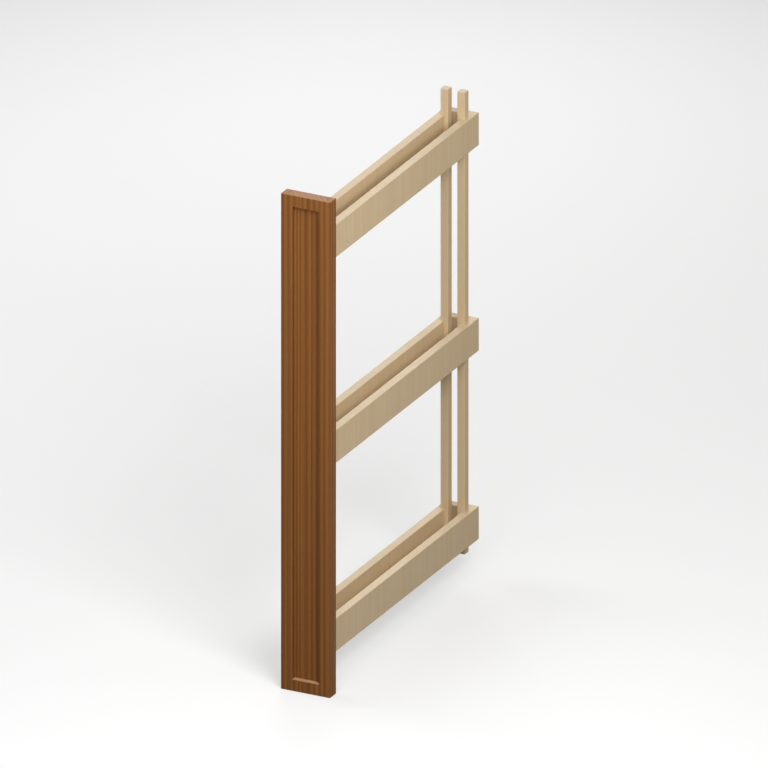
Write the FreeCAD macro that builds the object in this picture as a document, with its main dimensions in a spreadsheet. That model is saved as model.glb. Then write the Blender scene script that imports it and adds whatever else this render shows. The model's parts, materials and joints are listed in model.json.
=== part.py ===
import FreeCAD, Part
import math
import os
import re
import Sketcher
from FreeCAD import Placement, Rotation, Vector

# A narrow base cabinet pull-out: a framed wooden front carries three long trays, two posts tie
# the trays together at the back, and two ball-bearing slides on the left hang it in the cabinet.
# X runs across the front, Y runs into the cabinet and Z runs up. The origin lies on the floor of
# the bounding box, in its middle.

# Sizes in millimetres and degrees
SIZES = {
    # framed front
    "door_wide": 77.8,
    "door_tall": 762.0,
    "door_thick": 19.05,
    "stile_wide": 17.5,
    "rail_tall": 17.5,
    "recess_deep": 8.8,
    "tongue_thick": 6.0,
    "tongue_deep": 9.0,
    "tongue_space": 0.5,
    "panel_play": 0.15,
    # trays
    "tray_inset": 12.9,
    "tray_long": 477.5,
    "tray_tall": 50.3,
    "bottom_tray_height": 52.7,
    "middle_tray_height": 342.4,
    "top_tray_drop": 53.1,
    "side_thick": 12.7,
    "end_thick": 12.7,
    "joint_play": 0.1,
    "tray_floor_thick": 5.0,
    "tray_floor_raise": 8.0,
    "tray_floor_bite": 5.0,
    "tray_floor_play": 0.3,
    "groove_stop": 6.0,
    # posts at the back of the trays
    "post_wide": 12.0,
    "post_let_in": 5.95,
    "post_back_gap": 6.5,
    "post_below_trays": 13.7,
    "post_above_trays": 40.1,
    # dowels in the tray corners
    "dowel_radius": 3.0,
    "dowel_in_side": 9.0,
    "dowel_half_gap": 2.3,
    "dowel_bevel": 0.5,
    "dowel_play": 0.05,
    "dowel_below_edge": 7.0,
    "dowel_above_floor": 6.5,
    # screws that hold the front on the trays
    "door_screw_radius": 2.1,
    "door_screw_long": 20.0,
    "door_screw_head_radius": 3.9,
    "door_screw_head_tall": 2.3,
    "door_screw_spacing": 10.0,
    "screw_play": 0.1,
    "screw_tip_long": 2.5,
    "drive_arm": 0.9,
    "drive_span": 3.6,
    "drive_deep": 1.2,
    # bumpers on the back of the front
    "pad_radius": 4.8,
    "pad_thick": 1.6,
    "pad_crown": 0.6,
    "pad_inset": 20.0,
    # slides on the left faces of the bottom and top trays
    "slide_wide": 12.7,
    "slide_tall": 35.0,
    "slide_setback": 3.2,
    "slide_back_gap": 24.3,
    "slide_raise": 1.0,
    "rail_sheet": 1.2,
    "mid_sheet": 1.0,
    "mid_setback": 6.0,
    "head_room": 0.7,
    "slip_gap": 0.35,
    "rail_lip_angle": 35.0,
    "bend_angle": 20.0,
    "mid_lip_angle": 20.0,
    "runner_edge_angle": 25.0,
    "runner_lip_angle": 45.0,
    # balls and their cages
    "ball_radius": 2.0,
    "ball_play": 0.2,
    "ball_pitch": 14.0,
    "outer_ball_count": 12,
    "inner_ball_count": 13,
    "cage_sheet": 0.6,
    "cage_margin": 13.0,
    "cage_reach": 1.9,
    "outer_arm_drop": 1.3,
    "inner_arm_drop": 2.05,
    "pocket_play": 0.1,
    # stops on the slides
    "tab_setback": 2.2,
    "tab_long": 3.0,
    "tab_tall": 8.0,
    "stop_gap": 0.3,
    "catch_low": 6.0,
    "catch_tall": 3.4,
    "catch_clear": 0.3,
    "bumper_inset": 1.7,
    "bumper_long": 10.0,
    "bumper_tall": 20.0,
    "bumper_boss_radius": 3.0,
    # screw holes through the slides
    "wall_hole_radius": 2.3,
    "wall_hole_land": 0.5,
    "wall_hole_first": 37.0,
    "wall_hole_last": 29.0,
    "wall_hole_count": 3,
    "access_hole_radius": 4.5,
    "runner_screw_radius": 1.75,
    "runner_screw_long": 11.5,
    "runner_screw_head_radius": 3.2,
    "runner_screw_head_tall": 2.0,
    "runner_screw_first": 35.0,
    "runner_screw_second": 165.0,
    "runner_screw_last": 38.0,
    # release levers on the runners
    "lever_thick": 2.5,
    "lever_gap": 0.3,
    "lever_boss_radius": 6.5,
    "lever_arm_half": 2.6,
    "lever_long": 50.0,
    "lever_droop": 2.8,
    "hook_reach": 24.0,
    "hook_long": 3.5,
    "hook_low": 5.5,
    "hook_tall": 3.5,
    "hook_clear": 0.55,
    "pivot_radius": 2.4,
    "pivot_play": 0.1,
    "pivot_head_radius": 3.8,
    "pivot_head_thick": 0.8,
}

# Places and lengths that follow from the sizes
PLACES = {
    # front
    "front_y": "-(door_thick + tray_long) / 2",
    "door_back_y": "front_y + door_thick",
    "panel_half": "door_wide / 2 - stile_wide",
    "groove_deep": "tongue_deep + tongue_space",
    # trays, measured from a tray's own front lower corner
    "top_tray_height": "door_tall - top_tray_drop - tray_tall",
    "tray_wide": "door_wide - 2 * tray_inset",
    "inner_half": "tray_wide / 2 - side_thick",
    "floor_top": "tray_floor_raise + tray_floor_thick + joint_play",
    "low_dowel_z": "floor_top + dowel_above_floor",
    "high_dowel_z": "tray_tall - dowel_below_edge",
    "door_screw_z": "(low_dowel_z + high_dowel_z) / 2",
    "dowel_in_end": "inner_half - dowel_half_gap",
    "dowel_long": "dowel_in_side + dowel_in_end",
    "post_back": "tray_long - end_thick - post_back_gap",
    "post_front": "post_back - post_wide",
    "post_outer": "inner_half + post_let_in",
    "post_inner": "post_outer - post_wide",
    "post_height": "bottom_tray_height - post_below_trays",
    "post_tall": "top_tray_height + tray_tall + post_above_trays - post_height",
    # slides, measured from the wall face, front end and mid height of a slide
    "wall_x": "-tray_wide / 2 - slide_wide",
    "slide_y": "door_back_y + slide_setback",
    "slide_long": "tray_long - slide_setback - slide_back_gap",
    "slide_travel": "slide_long",
    "runner_long": "slide_long - bumper_inset - bumper_long - stop_gap",
    "mid_long": "runner_long - mid_setback",
    "wall_hole_pitch": "(slide_long - wall_hole_first - wall_hole_last) / (wall_hole_count - 1)",
    "lower_slide_z": "bottom_tray_height + slide_raise + slide_tall / 2",
    "upper_slide_z": "top_tray_height + slide_raise + slide_tall / 2",
    "race": "ball_radius + ball_play",
    "rail_skin": "race + rail_sheet",
    "mid_skin": "race + mid_sheet",
    "outer_x": "rail_sheet + race",
    "outer_z": "slide_tall / 2 - rail_sheet - race",
    "inner_x": "outer_x + (race + mid_skin) * cos(bend_angle)",
    "inner_z": "outer_z - (race + mid_skin) * sin(bend_angle)",
    "outer_cage_x": "rail_sheet + head_room",
    "mid_left": "outer_cage_x + cage_sheet + slip_gap",
    "mid_right": "mid_left + mid_sheet",
    "inner_cage_x": "mid_right + slip_gap",
    "runner_face": "slide_wide - rail_sheet",
    "outer_cage_long": "(outer_ball_count - 1) * ball_pitch + 2 * cage_margin",
    "inner_cage_long": "(inner_ball_count - 1) * ball_pitch + 2 * cage_margin",
    "outer_cage_y": "slide_travel / 4 + tab_setback + tab_long + stop_gap",
    "inner_cage_y": "mid_setback + tab_long + slide_travel / 4 + stop_gap",
    "mid_back_tab_y": "outer_cage_y + outer_cage_long + slide_travel / 4 + stop_gap",
    "hook_y": "mid_setback + tab_long + slide_travel / 2 + stop_gap",
    "pivot_y": "hook_y + hook_reach",
    "lever_left": "runner_face - lever_gap - lever_thick",
    "bumper_y": "mid_setback + mid_long + stop_gap",
}

TRAYS = {"bottom": "bottom_tray_height", "middle": "middle_tray_height", "top": "top_tray_height"}
SLIDES = {"lower": "lower_slide_z", "upper": "upper_slide_z"}
RUNNER_SCREWS = (
    "runner_screw_first",
    "runner_screw_second",
    "runner_long - runner_screw_last",
)
WORD = re.compile(r"[a-z][a-z_]*")
LEAST_CUT = 1e-3  # cubic millimetres that a cut has to take

doc = FreeCAD.newDocument("pull_out")
sheet = doc.addObject("Spreadsheet::Sheet", "Sizes")
nodes = []
cuts = []


def fill_sheet():
    """Write each size as a named cell."""
    for row, (name, size) in enumerate(SIZES.items(), start=1):
        sheet.set(f"A{row}", name)
        sheet.set(f"B{row}", str(size))
        sheet.setAlias(f"B{row}", name)
    doc.recompute()


def cells(formula):
    """Spell a formula of sizes and places as an expression on the sheet's cells."""

    def spell(match):
        word = match.group()
        if word in PLACES:
            return f"({cells(PLACES[word])})"
        return f"Sizes.{word}" if word in SIZES else word

    return WORD.sub(spell, formula)


def number(formula):
    """The present value of a formula."""
    return float(sheet.evalExpression(cells(formula)))


def bind(thing, path, formula):
    """Tie one property to a formula."""
    thing.setExpression(path, cells(formula))


def place(thing, x="0", y="0", z="0"):
    """Tie a thing's place to three formulas."""
    for axis, formula in zip("xyz", (x, y, z)):
        bind(thing, f"Placement.Base.{axis}", formula)


def new_body(label, x="0", y="0", z="0"):
    """An empty piece at its place."""
    body = doc.addObject("PartDesign::Body", label)
    body.Label = label
    place(body, x, y, z)
    return body


def keep(piece):
    """Count a finished piece among the nodes that are written."""
    nodes.append(piece)
    return piece


def base_plane(body, role):
    """One of a body's own planes or axes, such as XY_Plane or Y_Axis."""
    return next(feature for feature in body.Origin.OriginFeatures if feature.Role == role)


def new_sketch(body, plane, lift="0"):
    """A sketch on one of the body's planes, lifted along the plane's normal.

    The normals are +Z for XY_Plane, -Y for XZ_Plane and +X for YZ_Plane.
    """
    sketch = body.newObject("Sketcher::SketchObject", f"{body.Name}_sketch")
    sketch.AttachmentSupport = [(base_plane(body, plane), "")]
    sketch.MapMode = "FlatFace"
    bind(sketch, "AttachmentOffset.Base.z", lift)
    return sketch


def fix_point(sketch, shape, end, x, y):
    """Tie one point of a sketch to two formulas."""
    for kind, formula in (("DistanceX", x), ("DistanceY", y)):
        rule = Sketcher.Constraint(kind, -1, 1, shape, end, number(formula))
        bind(sketch, f"Constraints[{sketch.addConstraint(rule)}]", formula)


def draw_outline(sketch, corners):
    """Close an outline through corners (x, y), each tied to its formulas.

    A corner (x, y, centre_x, centre_y, radius, turn) starts an arc to the next corner,
    which turns left or right about its centre.
    """
    first = sketch.GeometryCount
    points = [Vector(number(corner[0]), number(corner[1]), 0) for corner in corners]
    starts = []
    ends = []
    for index, corner in enumerate(corners):
        start = points[index]
        end = points[(index + 1) % len(corners)]
        shape = first + index
        if len(corner) == 2:
            sketch.addGeometry(Part.LineSegment(start, end), False)
            starts.append((shape, 1))
            ends.append((shape, 2))
            continue
        centre = Vector(number(corner[2]), number(corner[3]), 0)
        left = corner[5] == "left"
        low, high = (start, end) if left else (end, start)
        low_angle = math.atan2(low.y - centre.y, low.x - centre.x)
        high_angle = math.atan2(high.y - centre.y, high.x - centre.x)
        circle = Part.Circle(centre, Vector(0, 0, 1), number(corner[4]))
        sketch.addGeometry(Part.ArcOfCircle(circle, low_angle, high_angle), False)
        starts.append((shape, 1 if left else 2))
        ends.append((shape, 2 if left else 1))
    for index, corner in enumerate(corners):
        follower = starts[(index + 1) % len(corners)]
        sketch.addConstraint(Sketcher.Constraint("Coincident", *ends[index], *follower))
        fix_point(sketch, *starts[index], corner[0], corner[1])
        if len(corner) > 2:
            rule = Sketcher.Constraint("Radius", first + index, number(corner[4]))
            bind(sketch, f"Constraints[{sketch.addConstraint(rule)}]", corner[4])


def draw_rectangle(sketch, left, low, right, high):
    """A rectangle between four formulas."""
    draw_outline(sketch, [(left, low), (right, low), (right, high), (left, high)])


def draw_circle(sketch, x, y, radius):
    """A circle tied to its formulas."""
    centre = Vector(number(x), number(y), 0)
    shape = sketch.addGeometry(Part.Circle(centre, Vector(0, 0, 1), number(radius)), False)
    fix_point(sketch, shape, 3, x, y)
    rule = Sketcher.Constraint("Radius", shape, number(radius))
    bind(sketch, f"Constraints[{sketch.addConstraint(rule)}]", radius)


def pad(body, sketch, length, forward=True):
    """Raise a sketch along its normal, or against it."""
    feature = body.newObject("PartDesign::Pad", f"{body.Name}_pad")
    feature.Profile = sketch
    feature.Reversed = not forward
    bind(feature, "Length", length)
    body.Tip = feature
    return feature


def pocket(body, sketch, depth, forward=False):
    """Cut a sketch into the body against its normal, or along it."""
    feature = body.newObject("PartDesign::Pocket", f"{body.Name}_pocket")
    feature.Profile = sketch
    feature.Reversed = forward
    bind(feature, "Length", depth)
    body.Tip = feature
    cuts.append(feature)
    return feature


def pad_block(body, left, low, right, high, length, plane="XY_Plane", lift="0", forward=True):
    """Raise a rectangle."""
    sketch = new_sketch(body, plane, lift)
    draw_rectangle(sketch, left, low, right, high)
    return pad(body, sketch, length, forward)


def cut_block(body, left, low, right, high, depth, plane="XY_Plane", lift="0", forward=True):
    """Cut a rectangle."""
    sketch = new_sketch(body, plane, lift)
    draw_rectangle(sketch, left, low, right, high)
    return pocket(body, sketch, depth, forward)


def cut_holes(body, centres, radius, depth, plane, lift="0", forward=False):
    """Cut round holes of one size."""
    sketch = new_sketch(body, plane, lift)
    for x, y in centres:
        draw_circle(sketch, x, y, radius)
    return pocket(body, sketch, depth, forward)


def turn(body, corners):
    """Turn a half profile (radius, height) about the body's Z axis."""
    sketch = new_sketch(body, "XZ_Plane")
    draw_outline(sketch, corners)
    feature = body.newObject("PartDesign::Revolution", f"{body.Name}_turned")
    feature.Profile = sketch
    feature.ReferenceAxis = (sketch, ["V_Axis"])
    feature.Angle = 360
    body.Tip = feature


def mirrored(upper):
    """Close an outline from its upper half, which runs from the mid line back to it."""
    lower = []
    for index in range(len(upper) - 1, -1, -1):
        x, z = upper[index][:2]
        arc = upper[index - 1][2:] if index else ()
        if arc:
            lower.append((x, f"-({z})", arc[0], f"-({arc[1]})", arc[2], arc[3]))
        else:
            lower.append((x, f"-({z})"))
    return upper[1:-1] + lower[1:-1]


def group(label, master, spots, rotation=Rotation()):
    """Copies of one small piece that share a node, each at its own spot."""
    copies = []
    for spot in spots:
        copy = doc.addObject("App::Link", f"{label}_copy")
        copy.LinkedObject = master
        copy.Placement = Placement(Vector(), rotation)
        place(copy, *spot)
        copies.append(copy)
    compound = doc.addObject("Part::Compound", label)
    compound.Label = label
    compound.Links = copies
    return keep(compound)


# Framed front: two stiles, two rails between them, and a flat panel in their grooves
def add_stile(label, sign):
    """One stile, on the side that the sign gives, with its groove for rails and panel."""
    stile = keep(new_body(label, y="front_y"))
    pad_block(stile, f"{sign}door_wide / 2", "0", f"{sign}panel_half", "door_thick", "door_tall")
    cut_block(
        stile,
        f"{sign}panel_half",
        "recess_deep - joint_play",
        f"{sign}(panel_half + groove_deep)",
        "recess_deep + tongue_thick + joint_play",
        "door_tall",
    )


def add_rail(label, height, groove_low):
    """One rail, with a tongue at each end and a groove along the panel."""
    rail = keep(new_body(label, y="front_y", z=height))
    pad_block(rail, "-panel_half", "0", "panel_half", "door_thick", "rail_tall")
    reach = "panel_half + tongue_deep"
    tongue_back = "recess_deep + tongue_thick"
    pad_block(rail, f"-({reach})", "recess_deep", reach, tongue_back, "rail_tall")
    groove_front = "recess_deep - joint_play"
    groove_back = "recess_deep + tongue_thick + joint_play"
    cut_block(
        rail, f"-({reach})", groove_front, reach, groove_back, "groove_deep", lift=groove_low
    )


def add_panel():
    """The flat panel, flush with the back, with a tongue all round and the screws' pilot holes."""
    panel = keep(new_body("door_panel", y="front_y"))
    half = "panel_half - panel_play"
    low = "rail_tall + panel_play"
    tall = "door_tall - 2 * rail_tall - 2 * panel_play"
    pad_block(panel, f"-({half})", "recess_deep", half, "door_thick", tall, lift=low)
    reach = "panel_half + tongue_deep"
    tongue_low = "rail_tall - tongue_deep"
    tongue_tall = "door_tall - 2 * rail_tall + 2 * tongue_deep"
    tongue_back = "recess_deep + tongue_thick"
    pad_block(
        panel, f"-({reach})", "recess_deep", reach, tongue_back, tongue_tall, lift=tongue_low
    )
    centres = [("0", z) for tray in TRAYS.values() for z in door_screw_heights(tray)]
    bite = "door_screw_long - end_thick + joint_play"
    radius = "door_screw_radius + screw_play"
    cut_holes(panel, centres, radius, bite, "XZ_Plane", lift="-door_thick", forward=True)


def door_screw_heights(tray):
    """Heights of the two screws through one tray's front board."""
    return [f"{tray} + door_screw_z {step} door_screw_spacing / 2" for step in "-+"]


def add_front():
    """All of the front."""
    add_stile("door_stile_left", "-")
    add_stile("door_stile_right", "")
    add_rail("door_rail_bottom", "0", "rail_tall - groove_deep")
    add_rail("door_rail_top", "door_tall - rail_tall", "0")
    add_panel()


# Trays: two full-length sides, a front and a back board doweled between them, a grooved floor
def add_side(tray, height, sign, slide):
    """One side board, with the post's housing, the floor's groove and the dowel holes."""
    name = "side_left" if sign else "side_right"
    side = keep(new_body(f"{tray}_{name}", x=f"{sign}inner_half", y="door_back_y", z=height))
    pad_block(side, "0", "0", f"{sign}side_thick", "tray_long", "tray_tall")
    housing = f"{sign}(post_outer - inner_half + joint_play)"
    housing_front = "post_front - joint_play"
    housing_back = "post_back + joint_play"
    cut_block(side, "0", housing_front, housing, housing_back, "tray_tall")
    cut_block(
        side,
        "0",
        "groove_stop",
        f"{sign}tray_floor_bite",
        "tray_long - groove_stop",
        "tray_floor_thick + 2 * joint_play",
        lift="tray_floor_raise - joint_play",
    )
    inward = not sign
    ends = ("end_thick / 2", "tray_long - end_thick / 2")
    centres = [(y, z) for y in ends for z in ("low_dowel_z", "high_dowel_z")]
    radius = "dowel_radius + dowel_play"
    depth = "dowel_in_side + joint_play"
    cut_holes(side, centres, radius, depth, "YZ_Plane", forward=inward)
    if slide:
        middle = "slide_raise + slide_tall / 2"
        centres = [(f"slide_setback + {screw}", middle) for screw in RUNNER_SCREWS]
        bite = "runner_screw_long - rail_sheet + joint_play"
        radius = "runner_screw_radius + screw_play"
        cut_holes(side, centres, radius, bite, "YZ_Plane", lift="-side_thick", forward=True)


def add_end(tray, height, name):
    """The front or the back board, which stands between the sides."""
    front = name == "front"
    y = "door_back_y" if front else "door_back_y + tray_long - end_thick"
    end = keep(new_body(f"{tray}_{name}", y=y, z=height))
    half = "inner_half - joint_play"
    pad_block(end, f"-({half})", "0", half, "end_thick", "tray_tall")
    groove_low = "end_thick - tray_floor_bite" if front else "0"
    groove_high = "end_thick" if front else "tray_floor_bite"
    deep = "tray_floor_thick + 2 * joint_play"
    lift = "tray_floor_raise - joint_play"
    cut_block(end, f"-({half})", groove_low, half, groove_high, deep, lift=lift)
    centres = [("end_thick / 2", z) for z in ("low_dowel_z", "high_dowel_z")]
    radius = "dowel_radius + dowel_play"
    cut_holes(end, centres, radius, "dowel_in_end", "YZ_Plane", lift=half)
    cut_holes(end, centres, radius, "dowel_in_end", "YZ_Plane", lift=f"-({half})", forward=True)
    if front:
        centres = [("0", z) for z in door_screw_heights("0")]
        radius = "door_screw_radius + screw_play"
        cut_holes(end, centres, radius, "end_thick", "XZ_Plane")


def add_floor(tray, height):
    """The floor panel, notched round the two posts."""
    z = f"{height} + tray_floor_raise"
    floor = keep(new_body(f"{tray}_floor", y="door_back_y", z=z))
    half = "inner_half + tray_floor_bite - tray_floor_play"
    front = "end_thick - tray_floor_bite + tray_floor_play"
    back = f"tray_long - ({front})"
    pad_block(floor, f"-({half})", front, half, back, "tray_floor_thick")
    for sign in ("-", ""):
        cut_block(
            floor,
            f"{sign}(post_inner - tray_floor_play)",
            "post_front - tray_floor_play",
            f"{sign}({half})",
            "post_back + tray_floor_play",
            "tray_floor_thick",
        )


def add_trays(dowel, screw):
    """The three trays with their dowels and the screws that hold them on the front."""
    for tray, height in TRAYS.items():
        add_side(tray, height, "-", slide=tray != "middle")
        add_side(tray, height, "", slide=False)
        add_end(tray, height, "front")
        add_end(tray, height, "back")
        add_floor(tray, height)
        spots = []
        for sign in ("-", ""):
            x = f"{sign}(inner_half - dowel_in_end) {sign or '+'} dowel_long / 2"
            for y in ("end_thick / 2", "tray_long - end_thick / 2"):
                for z in ("low_dowel_z", "high_dowel_z"):
                    spots.append((x, f"door_back_y + {y}", f"{height} + {z}"))
        group(f"{tray}_dowels", dowel, spots, Rotation(Vector(0, 1, 0), 90))
        spots = [("0", "door_back_y + end_thick", z) for z in door_screw_heights(height)]
        group(f"{tray}_door_screws", screw, spots, Rotation(Vector(1, 0, 0), -90))


def add_posts():
    """The two square posts that stand in the sides' housings."""
    for name, sign in (("post_left", "-"), ("post_right", "")):
        y = "door_back_y + post_front"
        post = keep(new_body(name, x=f"{sign}post_inner", y=y, z="post_height"))
        pad_block(post, "0", "0", f"{sign}post_wide", "post_wide", "post_tall")


# Slides, each in a frame with its origin on the wall face, at the front end and mid height
def new_slide_body(slide, name, y="0"):
    """An empty piece of one slide, a distance behind the slide's front end."""
    return keep(new_body(f"{slide}_slide_{name}", "wall_x", f"slide_y + {y}", SLIDES[slide]))


def pad_profile(body, upper, length):
    """Run a profile that is alike above and below the mid line along the slide."""
    sketch = new_sketch(body, "XZ_Plane")
    draw_outline(sketch, mirrored(upper))
    pad(body, sketch, length, forward=False)


def wall_holes():
    """Distances of the wall screws from the slide's front end."""
    count = int(number("wall_hole_count"))
    return [f"wall_hole_first + {step} * wall_hole_pitch" for step in range(count)]


def on_race(centre, radius, angle):
    """The point on a raceway circle at an angle formula from +X."""
    return (f"{centre}_x + {radius} * cos({angle})", f"{centre}_z + {radius} * sin({angle})")


def add_wall_rail(slide):
    """The outer rail, which is screwed to the cabinet wall."""
    rail = new_slide_body(slide, "wall_rail")
    about = ("outer_x", "outer_z")
    pad_profile(
        rail,
        [
            ("0", "0"),
            ("0", "outer_z", *about, "rail_skin", "right"),
            on_race("outer", "rail_skin", "rail_lip_angle"),
            (*on_race("outer", "race", "rail_lip_angle"), *about, "race", "left"),
            ("rail_sheet", "outer_z"),
            ("rail_sheet", "0"),
        ],
        "slide_long",
    )
    holes = [(y, "0") for y in wall_holes()]
    cut_holes(rail, holes, "wall_hole_radius", "rail_sheet", "YZ_Plane", forward=True)
    for y in wall_holes():
        sink = rail.newObject("PartDesign::SubtractiveCone", f"{rail.Name}_sink")
        sink.Placement = Placement(Vector(), Rotation(Vector(0, 1, 0), 90))
        place(sink, "wall_hole_land", y, "0")
        bind(sink, "Radius1", "wall_hole_radius")
        bind(sink, "Radius2", "wall_hole_radius + rail_sheet - wall_hole_land")
        bind(sink, "Height", "rail_sheet - wall_hole_land")
        rail.Tip = sink
        cuts.append(sink)
    boss = [("bumper_y + bumper_long / 2", "0")]
    radius = "bumper_boss_radius + joint_play"
    cut_holes(rail, boss, radius, "rail_sheet", "YZ_Plane", forward=True)
    tab_back = "tab_setback + tab_long"
    reach = "mid_left - slip_gap"
    pad_block(rail, "tab_setback", "-tab_tall / 2", tab_back, "tab_tall / 2", reach, "YZ_Plane")


def add_mid_rail(slide):
    """The rail between, whose S-shaped edges run under the outer and over the inner balls."""
    rail = new_slide_body(slide, "mid_rail", "mid_setback")
    outer = ("outer_x", "outer_z")
    inner = ("inner_x", "inner_z")
    bend = on_race("outer", "race", "-bend_angle")
    under_bend = on_race("outer", "mid_skin", "-bend_angle")
    left_z = "outer_z - sqrt(race ^ 2 - (outer_x - mid_left) ^ 2)"
    right_z = "outer_z - sqrt(mid_skin ^ 2 - (mid_right - outer_x) ^ 2)"
    pad_profile(
        rail,
        [
            ("mid_left", "0"),
            ("mid_left", left_z, *outer, "race", "left"),
            (*bend, *inner, "mid_skin", "right"),
            on_race("inner", "mid_skin", "mid_lip_angle"),
            (*on_race("inner", "race", "mid_lip_angle"), *inner, "race", "left"),
            (*under_bend, *outer, "mid_skin", "right"),
            ("mid_right", right_z),
            ("mid_right", "0"),
        ],
        "mid_long",
    )
    holes = [(f"{y} - mid_setback", "0") for y in wall_holes()]
    cut_holes(rail, holes, "access_hole_radius", "mid_right", "YZ_Plane", forward=True)
    back_tab = "mid_back_tab_y - mid_setback"
    low = "-tab_tall / 2"
    high = "tab_tall / 2"
    pad_block(
        rail,
        back_tab,
        low,
        f"{back_tab} + tab_long",
        high,
        "mid_left - outer_cage_x + mid_sheet / 2",
        "YZ_Plane",
        "outer_cage_x",
    )
    pad_block(
        rail,
        "0",
        "-catch_low",
        "tab_long",
        "catch_tall - catch_low",
        "lever_left - catch_clear - mid_left",
        "YZ_Plane",
        "mid_left",
    )


def add_runner(slide):
    """The inner rail, which is screwed to the tray's left side."""
    runner = new_slide_body(slide, "runner")
    inner = ("inner_x", "inner_z")
    edge = "-runner_edge_angle"
    lip = "180 + runner_lip_angle"
    pad_profile(
        runner,
        [
            ("slide_wide", "0"),
            ("slide_wide", f"inner_z + race * sin({edge})"),
            (*on_race("inner", "race", edge), *inner, "race", "right"),
            on_race("inner", "race", lip),
            (*on_race("inner", "rail_skin", lip), *inner, "rail_skin", "left"),
            ("inner_x", "inner_z - rail_skin"),
            ("runner_face", "inner_z - rail_skin"),
            ("runner_face", "0"),
        ],
        "runner_long",
    )
    screws = [(y, "0") for y in RUNNER_SCREWS]
    screw_radius = "runner_screw_radius + screw_play"
    deep = "slide_wide"
    cut_holes(runner, screws, screw_radius, deep, "YZ_Plane", forward=True)
    pivot = [("pivot_y", "0")]
    pivot_radius = "pivot_radius + joint_play"
    cut_holes(runner, pivot, pivot_radius, deep, "YZ_Plane", forward=True)


def add_cage(slide, name, start, profile, length, count):
    """A ball cage: a bent strip whose pockets are cut by balls a little larger than its own."""
    cage = new_slide_body(slide, f"{name}_cage", start)
    pad_profile(cage, profile, length)
    pockets = []
    for sign in ("", "-"):
        ball = cage.newObject("PartDesign::SubtractiveSphere", f"{cage.Name}_pocket")
        bind(ball, "Radius", "ball_radius + pocket_play")
        place(ball, f"{name}_x", "cage_margin", f"{sign}{name}_z")
        cage.Tip = ball
        pockets.append(ball)
        cuts.append(ball)
    row = cage.newObject("PartDesign::LinearPattern", f"{cage.Name}_row")
    row.Originals = pockets
    row.Direction = (base_plane(cage, "Y_Axis"), [""])
    bind(row, "Occurrences", count)
    bind(row, "Length", f"({count} - 1) * ball_pitch")
    cage.Tip = row


def outer_cage_profile():
    """Upper half of the outer cage's section, from its web to its arm over the ball's centre."""
    half = "cage_sheet / 2"
    right = "outer_cage_x + cage_sheet"
    return [
        ("outer_cage_x", "0"),
        ("outer_cage_x", f"outer_z - outer_arm_drop + {half}"),
        ("outer_x", f"outer_z + {half}"),
        ("outer_x + cage_reach", f"outer_z + {half}"),
        ("outer_x + cage_reach", f"outer_z - {half}"),
        ("outer_x", f"outer_z - {half}"),
        (right, f"outer_z - outer_arm_drop - {half}"),
        (right, "0"),
    ]


def inner_cage_profile():
    """Upper half of the inner cage's section, whose arm slants up to the inner balls."""
    half = "cage_sheet / 2"
    right = "inner_cage_x + cage_sheet"
    return [
        ("inner_cage_x", "0"),
        ("inner_cage_x", f"inner_z - inner_arm_drop + {half}"),
        ("inner_x", f"inner_z + {half}"),
        ("inner_x + cage_reach", f"inner_z + {half}"),
        ("inner_x + cage_reach", f"inner_z - {half}"),
        ("inner_x", f"inner_z - {half}"),
        (right, f"inner_z - inner_arm_drop - {half}"),
        (right, "0"),
    ]


def add_balls(slide, name, start, count, ball):
    """The balls of one cage, in an upper and a lower row."""
    spots = []
    for step in range(int(number(count))):
        y = f"slide_y + {start} + cage_margin + {step} * ball_pitch"
        for sign in "+-":
            spots.append((f"wall_x + {name}_x", y, f"{SLIDES[slide]} {sign} {name}_z"))
    group(f"{slide}_slide_{name}_balls", ball, spots)


def add_lever(slide):
    """The release lever, modelled about its pivot on the runner's inner face."""
    lever = keep(
        new_body(
            f"{slide}_slide_release_lever",
            "wall_x + runner_face",
            "slide_y + pivot_y",
            SLIDES[slide],
        )
    )
    left = "-lever_gap - lever_thick"
    boss = new_sketch(lever, "YZ_Plane", left)
    draw_circle(boss, "0", "0", "lever_boss_radius")
    pad(lever, boss, "lever_thick")
    arm = new_sketch(lever, "YZ_Plane", left)
    draw_outline(
        arm,
        [
            ("0", "-lever_arm_half"),
            ("0", "lever_arm_half"),
            ("-lever_long", "lever_arm_half - lever_droop"),
            ("-lever_long", "-lever_arm_half - lever_droop"),
        ],
    )
    pad(lever, arm, "lever_thick")
    hole = "pivot_radius + pivot_play"
    cut_holes(lever, [("0", "0")], hole, "2 * lever_thick", "YZ_Plane")
    hook_left = "inner_cage_x + cage_sheet + hook_clear - runner_face"
    pad_block(
        lever,
        "-hook_reach",
        "-hook_low",
        "hook_long - hook_reach",
        "hook_tall - hook_low",
        f"-lever_gap - lever_thick / 2 - ({hook_left})",
        "YZ_Plane",
        hook_left,
    )


def add_rivet(slide):
    """The rivet on which the release lever turns."""
    rivet = keep(
        new_body(
            f"{slide}_slide_lever_rivet", "wall_x", "slide_y + pivot_y", SLIDES[slide]
        )
    )
    head_back = "lever_left - catch_clear"
    lift = f"{head_back} - pivot_head_thick"
    head = new_sketch(rivet, "YZ_Plane", lift)
    draw_circle(head, "0", "0", "pivot_head_radius")
    pad(rivet, head, "pivot_head_thick")
    pin = new_sketch(rivet, "YZ_Plane", head_back)
    draw_circle(pin, "0", "0", "pivot_radius")
    pad(rivet, pin, f"slide_wide - ({head_back})")


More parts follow.
